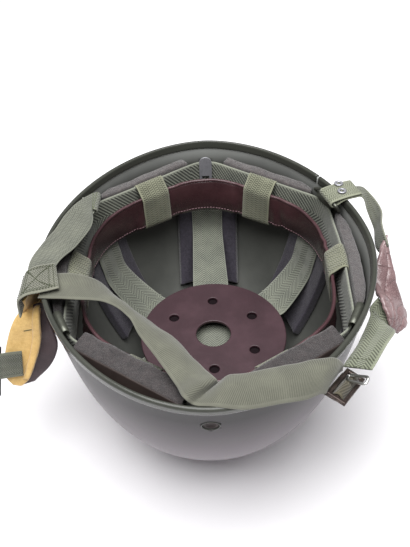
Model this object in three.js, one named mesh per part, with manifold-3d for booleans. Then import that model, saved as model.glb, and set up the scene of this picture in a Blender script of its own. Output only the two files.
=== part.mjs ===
// A steel combat helmet lying upside down on its crown, with its suspension liner and its chin harness.
// Millimetres, +Z up. The origin is the middle of the flat where the crown touches the ground, and the
// front of the helmet faces -Y. Inside the tables, heights are measured from the plane of the rim.

import * as THREE from 'three';
import { mergeVertices } from 'three/addons/utils/BufferGeometryUtils.js';
import Module from 'manifold-3d';

const wasm = await Module();
wasm.setup();

// Bowl
const RIM_HEIGHT = 158;
const BOWL_DEPTH = 159;
const HALF_WIDTH = 120;
const HALF_LENGTH = 145.2;
const RIM_LIFT = 1.93;
const RIM_POWER = 1.081;
const RIM_EGG = -0.026;
const SHELL_WALL = 1.3;
const BOWL_SIDES = 48;
const BOWL_RINGS = [0, -8, -22, -38, -54, -70, -84, -98, -112, -126, -139, -150];
const FIT = 0.3;

// Edge trim
const TRIM_WALL = 0.8;
const TRIM_DEPTH = 5;

// Head band, and what lies along it
const WEBBING = 1.4;
const BAND_THICK = 1.8;
const BAND_TOP = -12;
const BAND_BOTTOM = -42;
const BAND_LEAN = 0.00083;
const FELT_TOP = -11;
const FELT_BOTTOM = -41;
const FELT_GAP = 3;
const FELT_THICK = 8.5;
const FELT_LIP = { stretches: [2, 3], reach: 9.5, top: -5.5, bottom: -8.2, heel: -8.6 };
const FOAM = { top: -49, bottom: -121, width: 57, thick: 7, inset: 2 };

// Sweatband
const SWEAT = {
  halfWidth: 93,
  rear: 111,
  front: 105,
  lobes: 0.025,
  top: -20,
  bottom: -48,
  lean: 4,
  splay: 4,
  thick: 1.8,
};
const LOOP_WIDTH = 25;

// Crown disc and straps
const DISC = { x: 2.8, y: 0.9, radius: 59, thick: 2.5, top: -92, holes: 6, ring: 37.4, hole: 4, centre: 14 };
const CROWN_WIDTH = 30;
const CROWN_INSET = FOAM.inset + FOAM.thick + 1.6;
const CROWN_LEVELS = [-104.2, -106.4, -108.6];

// Screws, clips, brackets and bails
const SCREW = { height: -22, hole: 5.3, head: 5, collar: 7.5, shank: 3 };
const CLIP = { width: 11, height: 24, thick: 1.2, top: -6, gap: 1.2 };
const BRACKET = { width: 20, thick: 1.2, bottom: -30, hook: -8, bend: 1.75, inset: 2.4 };
const BAIL = { wire: 1.3, foot: 18 };

// Harness
const STRAP_WIDTH = 25;
const TAB_WIDTH = 19;

const UP = new THREE.Vector3(0, 0, 1);
const vector = (list) => new THREE.Vector3(...list);
const degrees = THREE.MathUtils.degToRad;

// Geometry helpers

// One closed body from points and triangles: shared corners are joined, and its faces point out.
function solid(points, faces) {
  const loose = new THREE.BufferGeometry();
  loose.setAttribute('position', new THREE.Float32BufferAttribute(points.flatMap((p) => [p.x, p.y, p.z]), 3));
  loose.setIndex(faces);
  return closed(loose);
}

function closed(source) {
  const bare = source.clone();
  bare.deleteAttribute('normal');
  bare.deleteAttribute('uv');
  const joined = mergeVertices(bare, 1e-4);
  const corner = (i) => new THREE.Vector3().fromBufferAttribute(joined.attributes.position, i);
  const kept = [];
  let volume = 0;
  for (let i = 0; i < joined.index.count; i += 3) {
    const [a, b, c] = [0, 1, 2].map((k) => joined.index.getX(i + k));
    if (a !== b && b !== c && c !== a) {
      kept.push(a, b, c);
      volume += corner(a).dot(corner(b).cross(corner(c)));
    }
  }
  joined.setIndex(volume < 0 ? kept.toReversed() : kept);
  joined.computeVertexNormals();
  return joined;
}

function cut(geometry, ...tools) {
  const body = ([shape]) => new wasm.Manifold(new wasm.Mesh({
    numProp: 3,
    vertProperties: new Float32Array(shape.attributes.position.array),
    triVerts: new Uint32Array(shape.index.array),
  }));
  const left = tools.reduce((rest, tool) => rest.subtract(body([closed(tool)])), body([geometry]));
  const mesh = left.getMesh();
  const cornered = new THREE.BufferGeometry();
  cornered.setAttribute('position', new THREE.Float32BufferAttribute(mesh.vertProperties, 3));
  cornered.setIndex([...mesh.triVerts]);
  return closed(cornered);
}

// Solid through rows of points. A row runs along one side of the piece and back along the other.
function loft(rows, loop = false) {
  const count = rows[0].length;
  const faces = [];
  const quad = (a, b, c, d) => faces.push(a, b, c, a, c, d);
  const spans = loop ? rows.length : rows.length - 1;
  for (let r = 0; r < spans; r++) {
    const here = r * count;
    const next = ((r + 1) % rows.length) * count;
    for (let c = 0; c < count; c++) {
      const side = (c + 1) % count;
      quad(here + c, next + c, next + side, here + side);
    }
  }
  if (!loop) {
    const last = (rows.length - 1) * count;
    for (let c = 0; c < count / 2 - 1; c++) {
      const across = count - 1 - c;
      quad(c, c + 1, across - 1, across);
      quad(last + c, last + across, last + across - 1, last + c + 1);
    }
  }
  return solid(rows.flat(), faces);
}

// Sheet of even thickness about a grid of points on its middle surface.
function sheet(grid, thick, loop = false) {
  const rows = grid.map((row, r) => {
    const before = grid[r - 1] ?? (loop ? grid.at(-1) : row);
    const after = grid[r + 1] ?? (loop ? grid[0] : row);
    const half = row.map((point, c) => {
      const along = after[c].clone().sub(before[c]);
      const across = row[Math.min(c + 1, row.length - 1)].clone().sub(row[Math.max(c - 1, 0)]);
      return along.cross(across).setLength(thick / 2);
    });
    const front = row.map((point, c) => point.clone().add(half[c]));
    const back = row.map((point, c) => point.clone().sub(half[c]));
    return [...front, ...back.reverse()];
  });
  return loft(rows, loop);
}

// Grid between two edges, low and high. With a width it is a strap, which keeps that width. The
// stations' rise lifts the middle of the strap over what it crosses.
function strapGrid(stations, steps, { width = 0, columns = 2 } = {}) {
  const edge = (name) => {
    const points = stations.map((station) => vector(station[name]));
    return new THREE.CatmullRomCurve3(points, false, 'centripetal');
  };
  const [low, high] = [edge('low'), edge('high')];
  const rises = stations.map((s) => s.rise ?? 0);
  return Array.from({ length: steps + 1 }, (_, i) => {
    const share = i / steps;
    const a = low.getPoint(share);
    const b = high.getPoint(share);
    const middle = a.clone().lerp(b, 0.5);
    const half = b.clone().sub(a).multiplyScalar(0.5);
    if (width) {
      half.setLength(width / 2);
    }
    const place = share * (stations.length - 1);
    const index = Math.min(Math.floor(place), stations.length - 2);
    const rise = THREE.MathUtils.lerp(rises[index], rises[index + 1], place - index);
    return Array.from({ length: columns }, (__, c) => {
      const across = (2 * c) / (columns - 1) - 1;
      return middle.clone().addScaledVector(half, across).addScaledVector(UP, rise * (1 - across * across));
    });
  });
}

// Round wire along points that lie nearly in one plane.
function wire(points, radius, planeNormal, sides = 8) {
  const rows = points.map((point, i) => {
    const before = points.at(i - 1);
    const after = points[(i + 1) % points.length];
    const tangent = after.clone().sub(before).normalize();
    const side = tangent.cross(planeNormal).normalize();
    return Array.from({ length: sides }, (_, k) => {
      const turn = (2 * Math.PI * k) / sides;
      return point.clone()
        .addScaledVector(side, radius * Math.cos(turn))
        .addScaledVector(planeNormal, radius * Math.sin(turn));
    });
  });
  return loft(rows, true);
}

// Closed outline with each corner rounded over its reach.
function roundCorners(corners, steps) {
  return corners.flatMap(({ at, reach }, i) => {
    const toward = (other) => other.at.clone().sub(at).setLength(reach).add(at);
    const start = toward(corners.at(i - 1));
    const end = toward(corners[(i + 1) % corners.length]);
    return new THREE.QuadraticBezierCurve3(start, at, end).getPoints(steps);
  });
}

// Bowl

function girth(rise) {
  const round = (1 - (1 - 0.97 * rise) ** 2.517) ** (1 / 2.07);
  return round * (1 - 0.063 * (1 - rise ** 6));
}

const TRIM_OUT = FIT + TRIM_WALL;

// Point on the outside of the shell. The angle is that of the ellipse, from the right towards the rear.
function surface(angle, height) {
  const rise = THREE.MathUtils.clamp(1 + height / BOWL_DEPTH, 0, 1);
  const nearRim = rise ** 8;
  const power = 1 + (RIM_POWER - 1) * nearRim;
  const [cos, sin] = [Math.cos(angle), Math.sin(angle)];
  const shrink = TRIM_OUT * rise ** 12;
  const x = (HALF_WIDTH * girth(rise) - shrink) * Math.sign(cos) * Math.abs(cos) ** power;
  const y = (HALF_LENGTH * girth(rise) - shrink) * Math.sign(sin) * Math.abs(sin) ** power;
  return new THREE.Vector3(x * (1 + RIM_EGG * nearRim * sin), y, height + RIM_LIFT * nearRim * cos * cos);
}

function outward(angle, height) {
  const around = surface(angle + 0.01, height).sub(surface(angle - 0.01, height));
  const level = Math.min(height, -0.5);
  const upward = surface(angle, level + 0.5).sub(surface(angle, level - 0.5));
  return around.cross(upward).normalize();
}

function wallPoint(angle, height, inset) {
  return surface(angle, height).addScaledVector(outward(angle, height), -inset);
}

function angleOf(point) {
  return Math.atan2(point.y / HALF_LENGTH, point.x / HALF_WIDTH);
}

// How far a point can move outwards before it comes within a distance of the shell's outside.
function room(point, direction, inset) {
  const isFree = (distance) => {
    const moved = point.clone().addScaledVector(direction, distance);
    const wall = surface(angleOf(moved), point.z);
    return Math.hypot(wall.x, wall.y) - Math.hypot(moved.x, moved.y) > inset;
  };
  let reach = 0;
  while (isFree(reach + 0.25)) {
    reach += 0.25;
  }
  return reach;
}

const bowlAngles = Array.from({ length: BOWL_SIDES }, (_, i) => (2 * Math.PI * i) / BOWL_SIDES);

function shell() {
  const rows = bowlAngles.map((angle) => {
    const outside = BOWL_RINGS.map((height) => surface(angle, height));
    const inside = BOWL_RINGS.map((height) => wallPoint(angle, height, SHELL_WALL));
    const flat = surface(angle, -RIM_HEIGHT);
    const floor = new THREE.Vector3(flat.x * 0.9, flat.y * 0.9, SHELL_WALL - RIM_HEIGHT);
    const pole = new THREE.Vector3(0, 0, -RIM_HEIGHT);
    const innerPole = new THREE.Vector3(0, 0, SHELL_WALL - RIM_HEIGHT);
    return [...outside, flat, pole, innerPole, floor, ...inside.reverse()];
  });
  const holes = [1, -1].map((end) => {
    const hole = new THREE.CylinderGeometry(SCREW.hole, SCREW.hole, 12, 16);
    const seat = screwSeat(end);
    return hole.applyQuaternion(seat.turn).translate(seat.at.x, seat.at.y, seat.at.z);
  });
  return cut(loft(rows, true), ...holes);
}

function edgeTrim() {
  const outer = -TRIM_OUT;
  const inner = SHELL_WALL + FIT + TRIM_WALL;
  const over = (angle, inset, rise) => wallPoint(angle, 0, inset).addScaledVector(UP, rise);
  const rows = bowlAngles.map((angle) => [
    wallPoint(angle, -TRIM_DEPTH, outer),
    over(angle, outer, 0.5),
    over(angle, outer + 0.7, TRIM_OUT),
    over(angle, inner - 0.7, TRIM_OUT),
    over(angle, inner, 0.5),
    wallPoint(angle, -TRIM_DEPTH, inner),
    wallPoint(angle, -TRIM_DEPTH, inner - TRIM_WALL),
    over(angle, inner - TRIM_WALL, FIT),
    over(angle, -FIT, FIT),
    wallPoint(angle, -TRIM_DEPTH, -FIT),
  ]);
  return loft(rows, true);
}

// Head band

// Corners of the band seen from above, at its top edge, from the rear to the right.
const RIGHT_CORNERS = [
  { x: 0, y: 135, reach: 16 },
  { x: 97, y: 69.5, reach: 14 },
  { x: 100.5, y: 0, reach: 6 },
  { x: 97, y: -70, reach: 14 },
  { x: 0, y: -135.5, reach: 16 },
];
const LEFT_CORNERS = RIGHT_CORNERS.slice(1, 4).reverse().map(({ x, y, reach }) => ({ x: -x, y, reach }));
const BAND_CORNERS = [...RIGHT_CORNERS, ...LEFT_CORNERS]
  .map(({ x, y, reach }) => ({ at: new THREE.Vector3(x, y, BAND_TOP), reach }));

// The six stretches between the corners that are held, each a list of corner numbers.
const STRETCHES = [[0, 1], [1, 2, 3], [3, 4], [4, 5], [5, 6, 7], [7, 0]];
const HELD_CORNERS = [0, 1, 3, 4, 5, 7];

function leaned(point, height) {
  const scale = 1 + (height - BAND_TOP) * BAND_LEAN;
  return new THREE.Vector3(point.x * scale, point.y * scale, height);
}

// Middle of the band on a stretch, at a share of its length, and the direction out of the helmet there.
function alongStretch(stretch, share, height) {
  const corners = STRETCHES[stretch].map((corner) => BAND_CORNERS[corner].at);
  const place = share * (corners.length - 1);
  const index = Math.min(Math.floor(place), corners.length - 2);
  const at = leaned(corners[index].clone().lerp(corners[index + 1], place - index), height);
  const run = corners[index + 1].clone().sub(corners[index]);
  const ends = corners.at(-1).clone().sub(corners[0]);
  const along = Math.abs(place - Math.round(place)) < 0.05 && corners.length > 2 ? ends : run;
  return { at, along: along.normalize(), out: along.clone().cross(UP).negate().normalize() };
}

function headBand() {
  const route = roundCorners(BAND_CORNERS, 3);
  const grid = route.map((point) => [leaned(point, BAND_BOTTOM), leaned(point, BAND_TOP)]);
  const holes = [1, -1].map((end) => {
    const hole = new THREE.CylinderGeometry(SCREW.shank + FIT, SCREW.shank + FIT, 40, 16);
    const seat = screwSeat(end);
    return hole.applyQuaternion(seat.turn).translate(seat.at.x, seat.at.y, seat.at.z);
  });
  return cut(sheet(grid, BAND_THICK, true), ...holes);
}

// Felt between band and shell, along the middle part of a stretch. The two strips at the front are bent in
// over the band at the top.
function feltStrip(stretch) {
  const shares = [0.14, 0.26, 0.38, 0.5, 0.62, 0.74, 0.86];
  const rows = shares.map((share) => {
    const [upper, lower] = [FELT_TOP, FELT_BOTTOM].map((height) => {
      const { at, out } = alongStretch(stretch, share, height);
      const inner = at.clone().addScaledVector(out, FELT_GAP);
      const thick = Math.min(FELT_THICK, room(inner, out, SHELL_WALL + 1.2));
      return { inner, outer: inner.clone().addScaledVector(out, thick) };
    });
    if (!FELT_LIP.stretches.includes(stretch)) {
      return [upper.inner, lower.inner, lower.outer, upper.outer];
    }
    const inwards = upper.inner.clone().sub(upper.outer).normalize().multiplyScalar(FELT_LIP.reach);
    return [
      upper.inner.clone().add(inwards).setZ(FELT_LIP.bottom),
      upper.inner.clone().setZ(FELT_LIP.heel),
      lower.inner,
      lower.outer,
      upper.outer.clone().setZ(FELT_LIP.heel),
      upper.inner.clone().add(inwards).setZ(FELT_LIP.top),
    ];
  });
  return loft(rows);
}

function foamBlock(corner) {
  const middle = angleOf(BAND_CORNERS[corner].at);
  const heights = [0, 0.33, 0.67, 1].map((share) => THREE.MathUtils.lerp(FOAM.top, FOAM.bottom, share));
  const rows = [-0.5, -0.25, 0, 0.25, 0.5].map((share) => {
    const column = (inset) => heights.map((height) => {
      const step = surface(middle + 0.05, height).distanceTo(surface(middle - 0.05, height)) / 0.1;
      return wallPoint(middle + (share * FOAM.width) / step, height, inset);
    });
    return [...column(FOAM.inset), ...column(FOAM.inset + FOAM.thick).reverse()];
  });
  return loft(rows);
}

// Sweatband. Its lower edge leans in at the front and the rear, and out at the sides.

function sweatPoint(angle, height) {
  const length = Math.sin(angle) > 0 ? SWEAT.rear : SWEAT.front;
  const lobe = 1 - SWEAT.lobes * Math.cos(6 * angle);
  const tilt = SWEAT.lean * Math.sin(angle) ** 2 - SWEAT.splay * Math.cos(angle) ** 2;
  const lean = (tilt * (SWEAT.top - height)) / (SWEAT.top - SWEAT.bottom);
  const x = (SWEAT.halfWidth * lobe - lean) * Math.cos(angle);
  const y = (length * lobe - lean) * Math.sin(angle);
  return new THREE.Vector3(x, y, height);
}

function sweatband() {
  const angles = Array.from({ length: 60 }, (_, i) => (2 * Math.PI * i) / 60);
  const grid = angles.map((angle) => [sweatPoint(angle, SWEAT.bottom), sweatPoint(angle, SWEAT.top)]);
  return sheet(grid, SWEAT.thick, true);
}

// Webbing loop round band and sweatband at the middle of a stretch. In a section, out is the distance
// out of the band's middle, or out of the sweatband's where the row says so.
function sweatbandLoop(stretch) {
  const { along, out } = alongStretch(stretch, 0.5, BAND_TOP);
  const ends = STRETCHES[stretch].map((corner) => BAND_CORNERS[corner].at);
  const length = ends.at(-1).distanceTo(ends[0]);
  const outside = BAND_THICK / 2 + FIT + 0.8;
  const inside = -(SWEAT.thick / 2 + FIT + 1.2);
  const section = [
    { out: outside, height: BAND_BOTTOM - 2.5 },
    { out: outside, height: -27 },
    { out: outside, height: BAND_TOP },
    { out: 0.4, height: BAND_TOP + 2.4 },
    { out: -2.4, height: BAND_TOP + 1.2 },
    { sweat: 0.4, height: SWEAT.top + 2.6 },
    { sweat: -1.2, height: SWEAT.top + 2.2 },
    { sweat: inside, height: SWEAT.top },
    { sweat: inside, height: -34 },
    { sweat: inside, height: SWEAT.bottom },
    { sweat: -0.4, height: SWEAT.bottom - 2.2 },
  ];
  const fine = Array.from({ length: 720 }, (_, i) => (Math.PI * i) / 360);
  const grid = section.map((row) => [-0.5, 0, 0.5].map((share) => {
    const { at } = alongStretch(stretch, 0.5 + (share * LOOP_WIDTH) / length, row.height);
    if (row.sweat === undefined) {
      return at.addScaledVector(out, row.out);
    }
    const faced = fine.map((angle) => sweatPoint(angle, row.height)).filter((point) => point.dot(out) > 0);
    const aside = (point) => Math.abs(point.clone().sub(at).dot(along));
    const nearest = faced.reduce((best, point) => (aside(point) < aside(best) ? point : best));
    return at.addScaledVector(out, nearest.sub(at).dot(out) + row.sweat);
  }));
  return sheet(grid, WEBBING - 0.2, true);
}

// Crown disc and straps

function crownDisc() {
  const outline = new THREE.Shape().absarc(0, 0, DISC.radius, 0, 2 * Math.PI);
  const hole = (x, y, radius) => outline.holes.push(new THREE.Path().absarc(x, y, radius, 0, 2 * Math.PI));
  hole(0, 0, DISC.centre);
  for (let i = 0; i < DISC.holes; i++) {
    const angle = degrees(30 + (360 / DISC.holes) * i);
    hole(DISC.ring * Math.cos(angle), DISC.ring * Math.sin(angle), DISC.hole);
  }
  const options = { depth: DISC.thick, bevelEnabled: false, curveSegments: 12 };
  const plate = new THREE.ExtrudeGeometry(outline, options);
  return closed(plate.translate(DISC.x, DISC.y, DISC.top - DISC.thick));
}

// Strap from one held corner of the band, down the foam, under the disc, where it sags, and up to the
// opposite corner.
function crownStrap(number) {
  const middle = new THREE.Vector3(DISC.x, DISC.y, 0);
  const half = (corner) => {
    const seat = leaned(BAND_CORNERS[corner].at, BAND_BOTTOM);
    const away = seat.clone().sub(middle).setZ(0).normalize();
    const across = UP.clone().cross(away);
    const angle = angleOf(seat);
    const row = (place) => [-0.5, 0, 0.5].map((share) => place(share * CROWN_WIDTH));
    const wall = (height, inset) => row((shift) => {
      const step = surface(angle + 0.05, height).distanceTo(surface(angle - 0.05, height)) / 0.1;
      return wallPoint(angle + shift / step, height, inset);
    });
    const under = (distance, height) => row((shift) => (
      middle.clone().addScaledVector(away, distance).addScaledVector(across, shift).setZ(height)));
    return [
      wall(BAND_BOTTOM, CROWN_INSET - 1.4).map((point) => point.setZ(BAND_BOTTOM - 0.9)),
      wall(-49, CROWN_INSET + 0.4),
      wall(-56, CROWN_INSET),
      wall(-64, CROWN_INSET),
      wall(-80, CROWN_INSET),
      under(64, -95.6),
      under(55, -96.1),
      under(38, -104.1),
      under(30, CROWN_LEVELS[number]),
      under(0, CROWN_LEVELS[number]),
    ];
  };
  const start = half(HELD_CORNERS[number]);
  const end = half(HELD_CORNERS[number + 3]).slice(0, -1);
  return sheet([...start, ...end.reverse().map((row) => row.reverse())], WEBBING);
}

// Screws and clips. End is 1 at the rear and -1 at the front.

function screwSeat(end) {
  const angle = (end * Math.PI) / 2;
  const at = surface(angle, SCREW.height);
  const inward = outward(angle, SCREW.height).negate();
  const turn = new THREE.Quaternion().setFromUnitVectors(new THREE.Vector3(0, 1, 0), inward);
  return { at, inward, turn };
}

// Distance of the band's middle from the helmet's middle plane, behind a screw.
function bandFace(end, height) {
  const route = roundCorners([BAND_CORNERS.at(end > 0 ? 7 : 3), BAND_CORNERS[end > 0 ? 0 : 4],
    BAND_CORNERS[end > 0 ? 1 : 5]], 3);
  const peak = Math.max(...route.slice(4, 8).map((point) => Math.abs(point.y)));
  return leaned(new THREE.Vector3(0, peak, BAND_TOP), height).y;
}

// Profile of the screw: radius, and depth along its axis from the outside of the shell.
function screw(end) {
  const seat = screwSeat(end);
  const toBand = (Math.abs(seat.at.y) - bandFace(end, SCREW.height + 1.5)) / Math.abs(seat.inward.y);
  const collarEnd = toBand - BAND_THICK / 2 - 1.2;
  const shankEnd = toBand + BAND_THICK / 2 + FIT;
  const profile = [
    { radius: 0, depth: 0.4 },
    { radius: SCREW.head - 1, depth: 0.4 },
    { radius: SCREW.head, depth: 0.9 },
    { radius: SCREW.head, depth: SHELL_WALL + 1 },
    { radius: SCREW.collar, depth: SHELL_WALL + 1 },
    { radius: SCREW.collar, depth: collarEnd },
    { radius: SCREW.shank, depth: collarEnd },
    { radius: SCREW.shank, depth: shankEnd },
    { radius: 0, depth: shankEnd },
  ];
  const turned = new THREE.LatheGeometry(profile.map((p) => new THREE.Vector2(p.radius, p.depth)), 16);
  return closed(turned.applyQuaternion(seat.turn).translate(seat.at.x, seat.at.y, seat.at.z));
}

// Rounded tongue with a slot, lying on the band's inner side.
function clip(end) {
  const half = CLIP.width / 2;
  const outline = new THREE.Shape()
    .moveTo(half, 2)
    .lineTo(half, CLIP.height - half)
    .absarc(0, CLIP.height - half, half, 0, Math.PI)
    .lineTo(-half, 2)
    .absarc(-half + 2, 2, 2, Math.PI, 1.5 * Math.PI)
    .lineTo(half - 2, 0)
    .absarc(half - 2, 2, 2, -0.5 * Math.PI, 0);
  outline.holes.push(new THREE.Path().moveTo(-3, 3).lineTo(-3, 6).lineTo(3, 6).lineTo(3, 3));
  const options = { depth: CLIP.thick, bevelEnabled: false, curveSegments: 8 };
  const plate = new THREE.ExtrudeGeometry(outline, options);
  plate.translate(0, 0, -CLIP.thick / 2).rotateX(Math.PI / 2);
  const foot = bandFace(end, CLIP.top - CLIP.height);
  plate.rotateX(-end * Math.atan(BAND_LEAN * foot));
  const y = end * (foot - BAND_THICK / 2 - CLIP.gap - CLIP.thick / 2);
  return closed(plate.translate(0, y, CLIP.top - CLIP.height));
}

// Brackets and bails

// Straight curl at a bracket's top: its axis, and the level directions into the helmet and along it.
function bracketCurl(angle) {
  const inward = outward(degrees(angle), BRACKET.hook).setZ(0).normalize().negate();
  const radius = BRACKET.bend + BRACKET.thick / 2;
  const top = wallPoint(degrees(angle), BRACKET.hook, BRACKET.inset + BRACKET.thick / 2).setZ(BRACKET.hook);
  return { axis: top.addScaledVector(inward, radius), inward, along: inward.clone().cross(UP), radius };
}

// Plate on the shell whose top curls inwards over the bail's lower bar.
function bracket(angle) {
  const { axis, inward, along, radius } = bracketCurl(angle);
  const plate = [BRACKET.bottom, -20]
    .map((height) => wallPoint(degrees(angle), height, BRACKET.inset + BRACKET.thick / 2));
  const bend = [0, 40, 80, 120, 160, 180].map((sweep) => axis.clone()
    .addScaledVector(inward, -radius * Math.cos(degrees(sweep)))
    .addScaledVector(UP, radius * Math.sin(degrees(sweep))));
  const lip = bend.at(-1).clone().addScaledVector(UP, -2.2);
  const grid = [...plate, ...bend, lip].map((point) => [-0.5, 0.5].map((share) => (
    point.clone().addScaledVector(along, share * BRACKET.width))));
  return sheet(grid, BRACKET.thick);
}

// Wire loop: a foot in the bracket's curl and a shorter bar that the webbing is folded over.
const BAILS = {
  right: { bracket: 29, bar: [[99, 40, 3], [91, 64, 3]] },
  left: { bracket: 151, bar: [[-86, 69, 2], [-86.5, 41, 2]] },
};

function bail({ bracket: angle, bar }) {
  const { axis, along } = bracketCurl(angle);
  const feet = [BAIL.foot, -BAIL.foot].map((shift) => axis.clone().addScaledVector(along, shift));
  const corners = [...feet, ...bar.map(vector)].map((at) => ({ at, reach: 3 }));
  const [a, b, c] = corners.map(({ at }) => at);
  const planeNormal = b.clone().sub(a).cross(c.clone().sub(b)).normalize();
  return wire(roundCorners(corners, 3), BAIL.wire, planeNormal);
}

// Harness. Each table gives the two edges of a strap or leaf, low and high.

const SIDE_STRAP = [
  { low: [-98, 46, 0.6], high: [-98, 65, 0.6] },
  { low: [-87, 45.5, -0.5], high: [-86.5, 65, -0.5] },
  { low: [-84.7, 45.2, 0.2], high: [-84.2, 65.3, 0.2] },
  { low: [-84, 45, 2], high: [-83.5, 65.5, 2] },
  { low: [-84.7, 44.8, 3.8], high: [-84.2, 65.8, 3.8] },
  { low: [-87, 44.5, 4.5], high: [-86.5, 66, 4.5] },
  { low: [-85.5, 33, 4.6], high: [-98, 54, 5.4] },
  { low: [-86.5, 24, 3], high: [-106, 40, 5] },
  { low: [-95, 4, 2], high: [-112, 20, 5] },
  { low: [-104, -16, 5], high: [-119, 3, 5.2] },
  { low: [-107.5, -35, 6], high: [-124, -17, 6] },
];
const KEEPER = [
  { low: [-97, -51.5, 7.9], high: [-97, -24.5, 7.9] },
  { low: [-112, -51.5, 7.9], high: [-112, -24.5, 7.9] },
  { low: [-120.5, -52, 7.4], high: [-120.5, -25, 7.4] },
  { low: [-126.2, -53, 3], high: [-126.2, -26, 3] },
  { low: [-127.5, -54, -6], high: [-127.5, -27, -6] },
  { low: [-127.5, -54.5, -11], high: [-127.5, -27.5, -11] },
];
const CROSS_STRAP = [
  { low: [-113, -51, 4.2], high: [-104.5, -28, 4.2] },
  { low: [-97, -53, 4.2], high: [-88, -29.5, 4.2] },
  { low: [-76, -56, 5], high: [-74, -32, -2] },
  { low: [-62, -64, 8], high: [-63, -44, -5] },
  { low: [-50, -76, 8], high: [-48, -58, -7] },
  { low: [-43, -90, 7], high: [-35, -71, -6] },
  { low: [-33, -105, 4], high: [-19, -86, -6] },
  { low: [-18.6, -125.5, -1], high: [-5.1, -107.4, -6] },
  { low: [-11.4, -138.8, 1.5], high: [3.2, -120.6, -5.4] },
  { low: [3, -142, 3.2], high: [12, -119, 1] },
  { low: [20, -145, 3], high: [23, -120, 2.5], rise: 0.5 },
  { low: [40, -141, 1.5], high: [39, -116, 3], rise: 1.2 },
  { low: [55, -138, 0], high: [56, -113, 3], rise: 3.2 },
  { low: [64, -132.5, -2], high: [74, -110.5, 3.6], rise: 4.8 },
  { low: [67.5, -130, -4.5], high: [81, -109.5, -3], rise: 4 },
  { low: [67.6, -127, -5.2], high: [82, -107.6, -11.2], rise: 2 },
];
const CHEEK_STRAP = [
  { low: [111.8, -52, -16], high: [119.9, -64, -22] },
  { low: [109.5, -60, -14], high: [121, -74, -13] },
  { low: [97.5, -83.5, -12], high: [112, -93, -3] },
  { low: [83.1, -104.7, -11.4], high: [97.8, -115.3, -2.5] },
];
const CHEEK_LEATHER_RIGHT = [
  { low: [133, 4, -9], high: [132, 8, 0] },
  { low: [134, -14, -15], high: [120.5, -14, -10] },
  { low: [136, -34, -24], high: [117.5, -33, -13] },
  { low: [138, -51, -30], high: [117.5, -49, -9] },
  { low: [129, -64, -27], high: [121.5, -64, -18.5] },
];
const LOOP_STRAP = [
  { low: [120.3, 49, 4.6], high: [121.8, 63, 4.4] },
  { low: [124.5, 41, -5], high: [128, 52, 4] },
  { low: [128, 30, -12], high: [132, 35, 3] },
  { low: [127, 19, -14], high: [130, 19, 2] },
  { low: [127, 8, -15], high: [129.5, 8, 1] },
];
const TAB_RIGHT = [
  { out: 23, height: 7 },
  { out: 12, height: 7 },
  { out: 0, height: 5.5 },
  { out: -1.8, height: 4.8 },
  { out: -2.5, height: 3 },
  { out: -1.8, height: 1.2 },
  { out: 0, height: 0.5 },
  { out: 9, height: 4.4 },
  { out: 22, height: 4.9 },
];
const SUEDE_LEFT = [
  { low: [-125, -34, -11.2], high: [-120, -39, -8.2] },
  { low: [-133.5, -44, -24], high: [-117.5, -45, -18] },
  { low: [-143, -52, -40], high: [-120, -50, -38] },
  { low: [-147, -58, -56], high: [-125, -57, -54] },
  { low: [-146, -62, -68], high: [-136, -64, -69] },
];
const LEATHER_LEFT = [
  { low: [-122.5, -36, -17], high: [-116.5, -34.5, -16] },
  { low: [-125, -43.6, -29], high: [-112.5, -42.6, -29] },
  { low: [-130, -50.1, -46], high: [-109.5, -48.1, -46] },
  { low: [-134, -57, -61], high: [-116, -53, -61] },
  { low: [-137, -61.5, -73], high: [-129, -58, -73] },
];
const BUCKLE_STRAP = [
  { low: [-134, -63.8, -60.5], high: [-132.5, -57.3, -42] },
  { low: [-143, -63.8, -62], high: [-141, -57.3, -43] },
  { low: [-152, -62.8, -65], high: [-149, -55.8, -46] },
];

// Tab of doubled webbing folded over the right bail's bar.
function tabRight() {
  const [near, far] = BAILS.right.bar.map(vector);
  const middle = near.clone().lerp(far, 0.5);
  const along = far.clone().sub(near).normalize();
  const out = along.clone().cross(UP);
  const grid = TAB_RIGHT.map((row) => [-0.5, 0.5].map((share) => middle.clone()
    .addScaledVector(out, row.out)
    .addScaledVector(along, share * TAB_WIDTH)
    .setZ(row.height)));
  return sheet(grid, WEBBING);
}

function eyelet(place) {
  const profile = [[1.3, 0], [3.6, 0], [3.6, 0.4], [2.6, 1], [1.3, 0.7]];
  const ring = new THREE.LatheGeometry([...profile, profile[0]].map(([r, h]) => new THREE.Vector2(r, h)), 12);
  return closed(ring.rotateX(Math.PI / 2).translate(...place));
}

// Three-bar slide. Its frame: across is along the bars, run is along the strap.
const SLIDE = {
  at: [82, -121, -10.8],
  across: [17, 24, -7],
  run: [8.3, -3, -2],
  length: 30,
  width: 13,
  thick: 2.6,
  slot: 2.8,
  slotAt: 2.5,
};

function slideFrame() {
  const across = vector(SLIDE.across).normalize();
  const run = vector(SLIDE.run);
  run.addScaledVector(across, -run.dot(across)).normalize();
  return new THREE.Matrix4().makeBasis(run, across, run.clone().cross(across)).setPosition(vector(SLIDE.at));
}

function strapSlide() {
  const plate = new THREE.BoxGeometry(SLIDE.width, SLIDE.length, SLIDE.thick);
  const slots = [-SLIDE.slotAt, SLIDE.slotAt].map((x) => (
    new THREE.BoxGeometry(SLIDE.slot, SLIDE.length - 4, 2 * SLIDE.thick).translate(x, 0, 0)));
  return closed(cut(closed(plate), ...slots).applyMatrix4(slideFrame()));
}

// Wire ring that links the slide to the fold of the cheek strap.
function slideHook() {
  const corners = [[85, -113, -9.9], [95, -120.5, -3], [92.5, -125, -4.5], [83, -117.5, -8.9]]
    .map((place) => ({ at: vector(place), reach: 2 }));
  const [a, b, c] = corners.map(({ at }) => at);
  return wire(roundCorners(corners, 2), 1, b.clone().sub(a).cross(c.clone().sub(b)).normalize(), 6);
}

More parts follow.
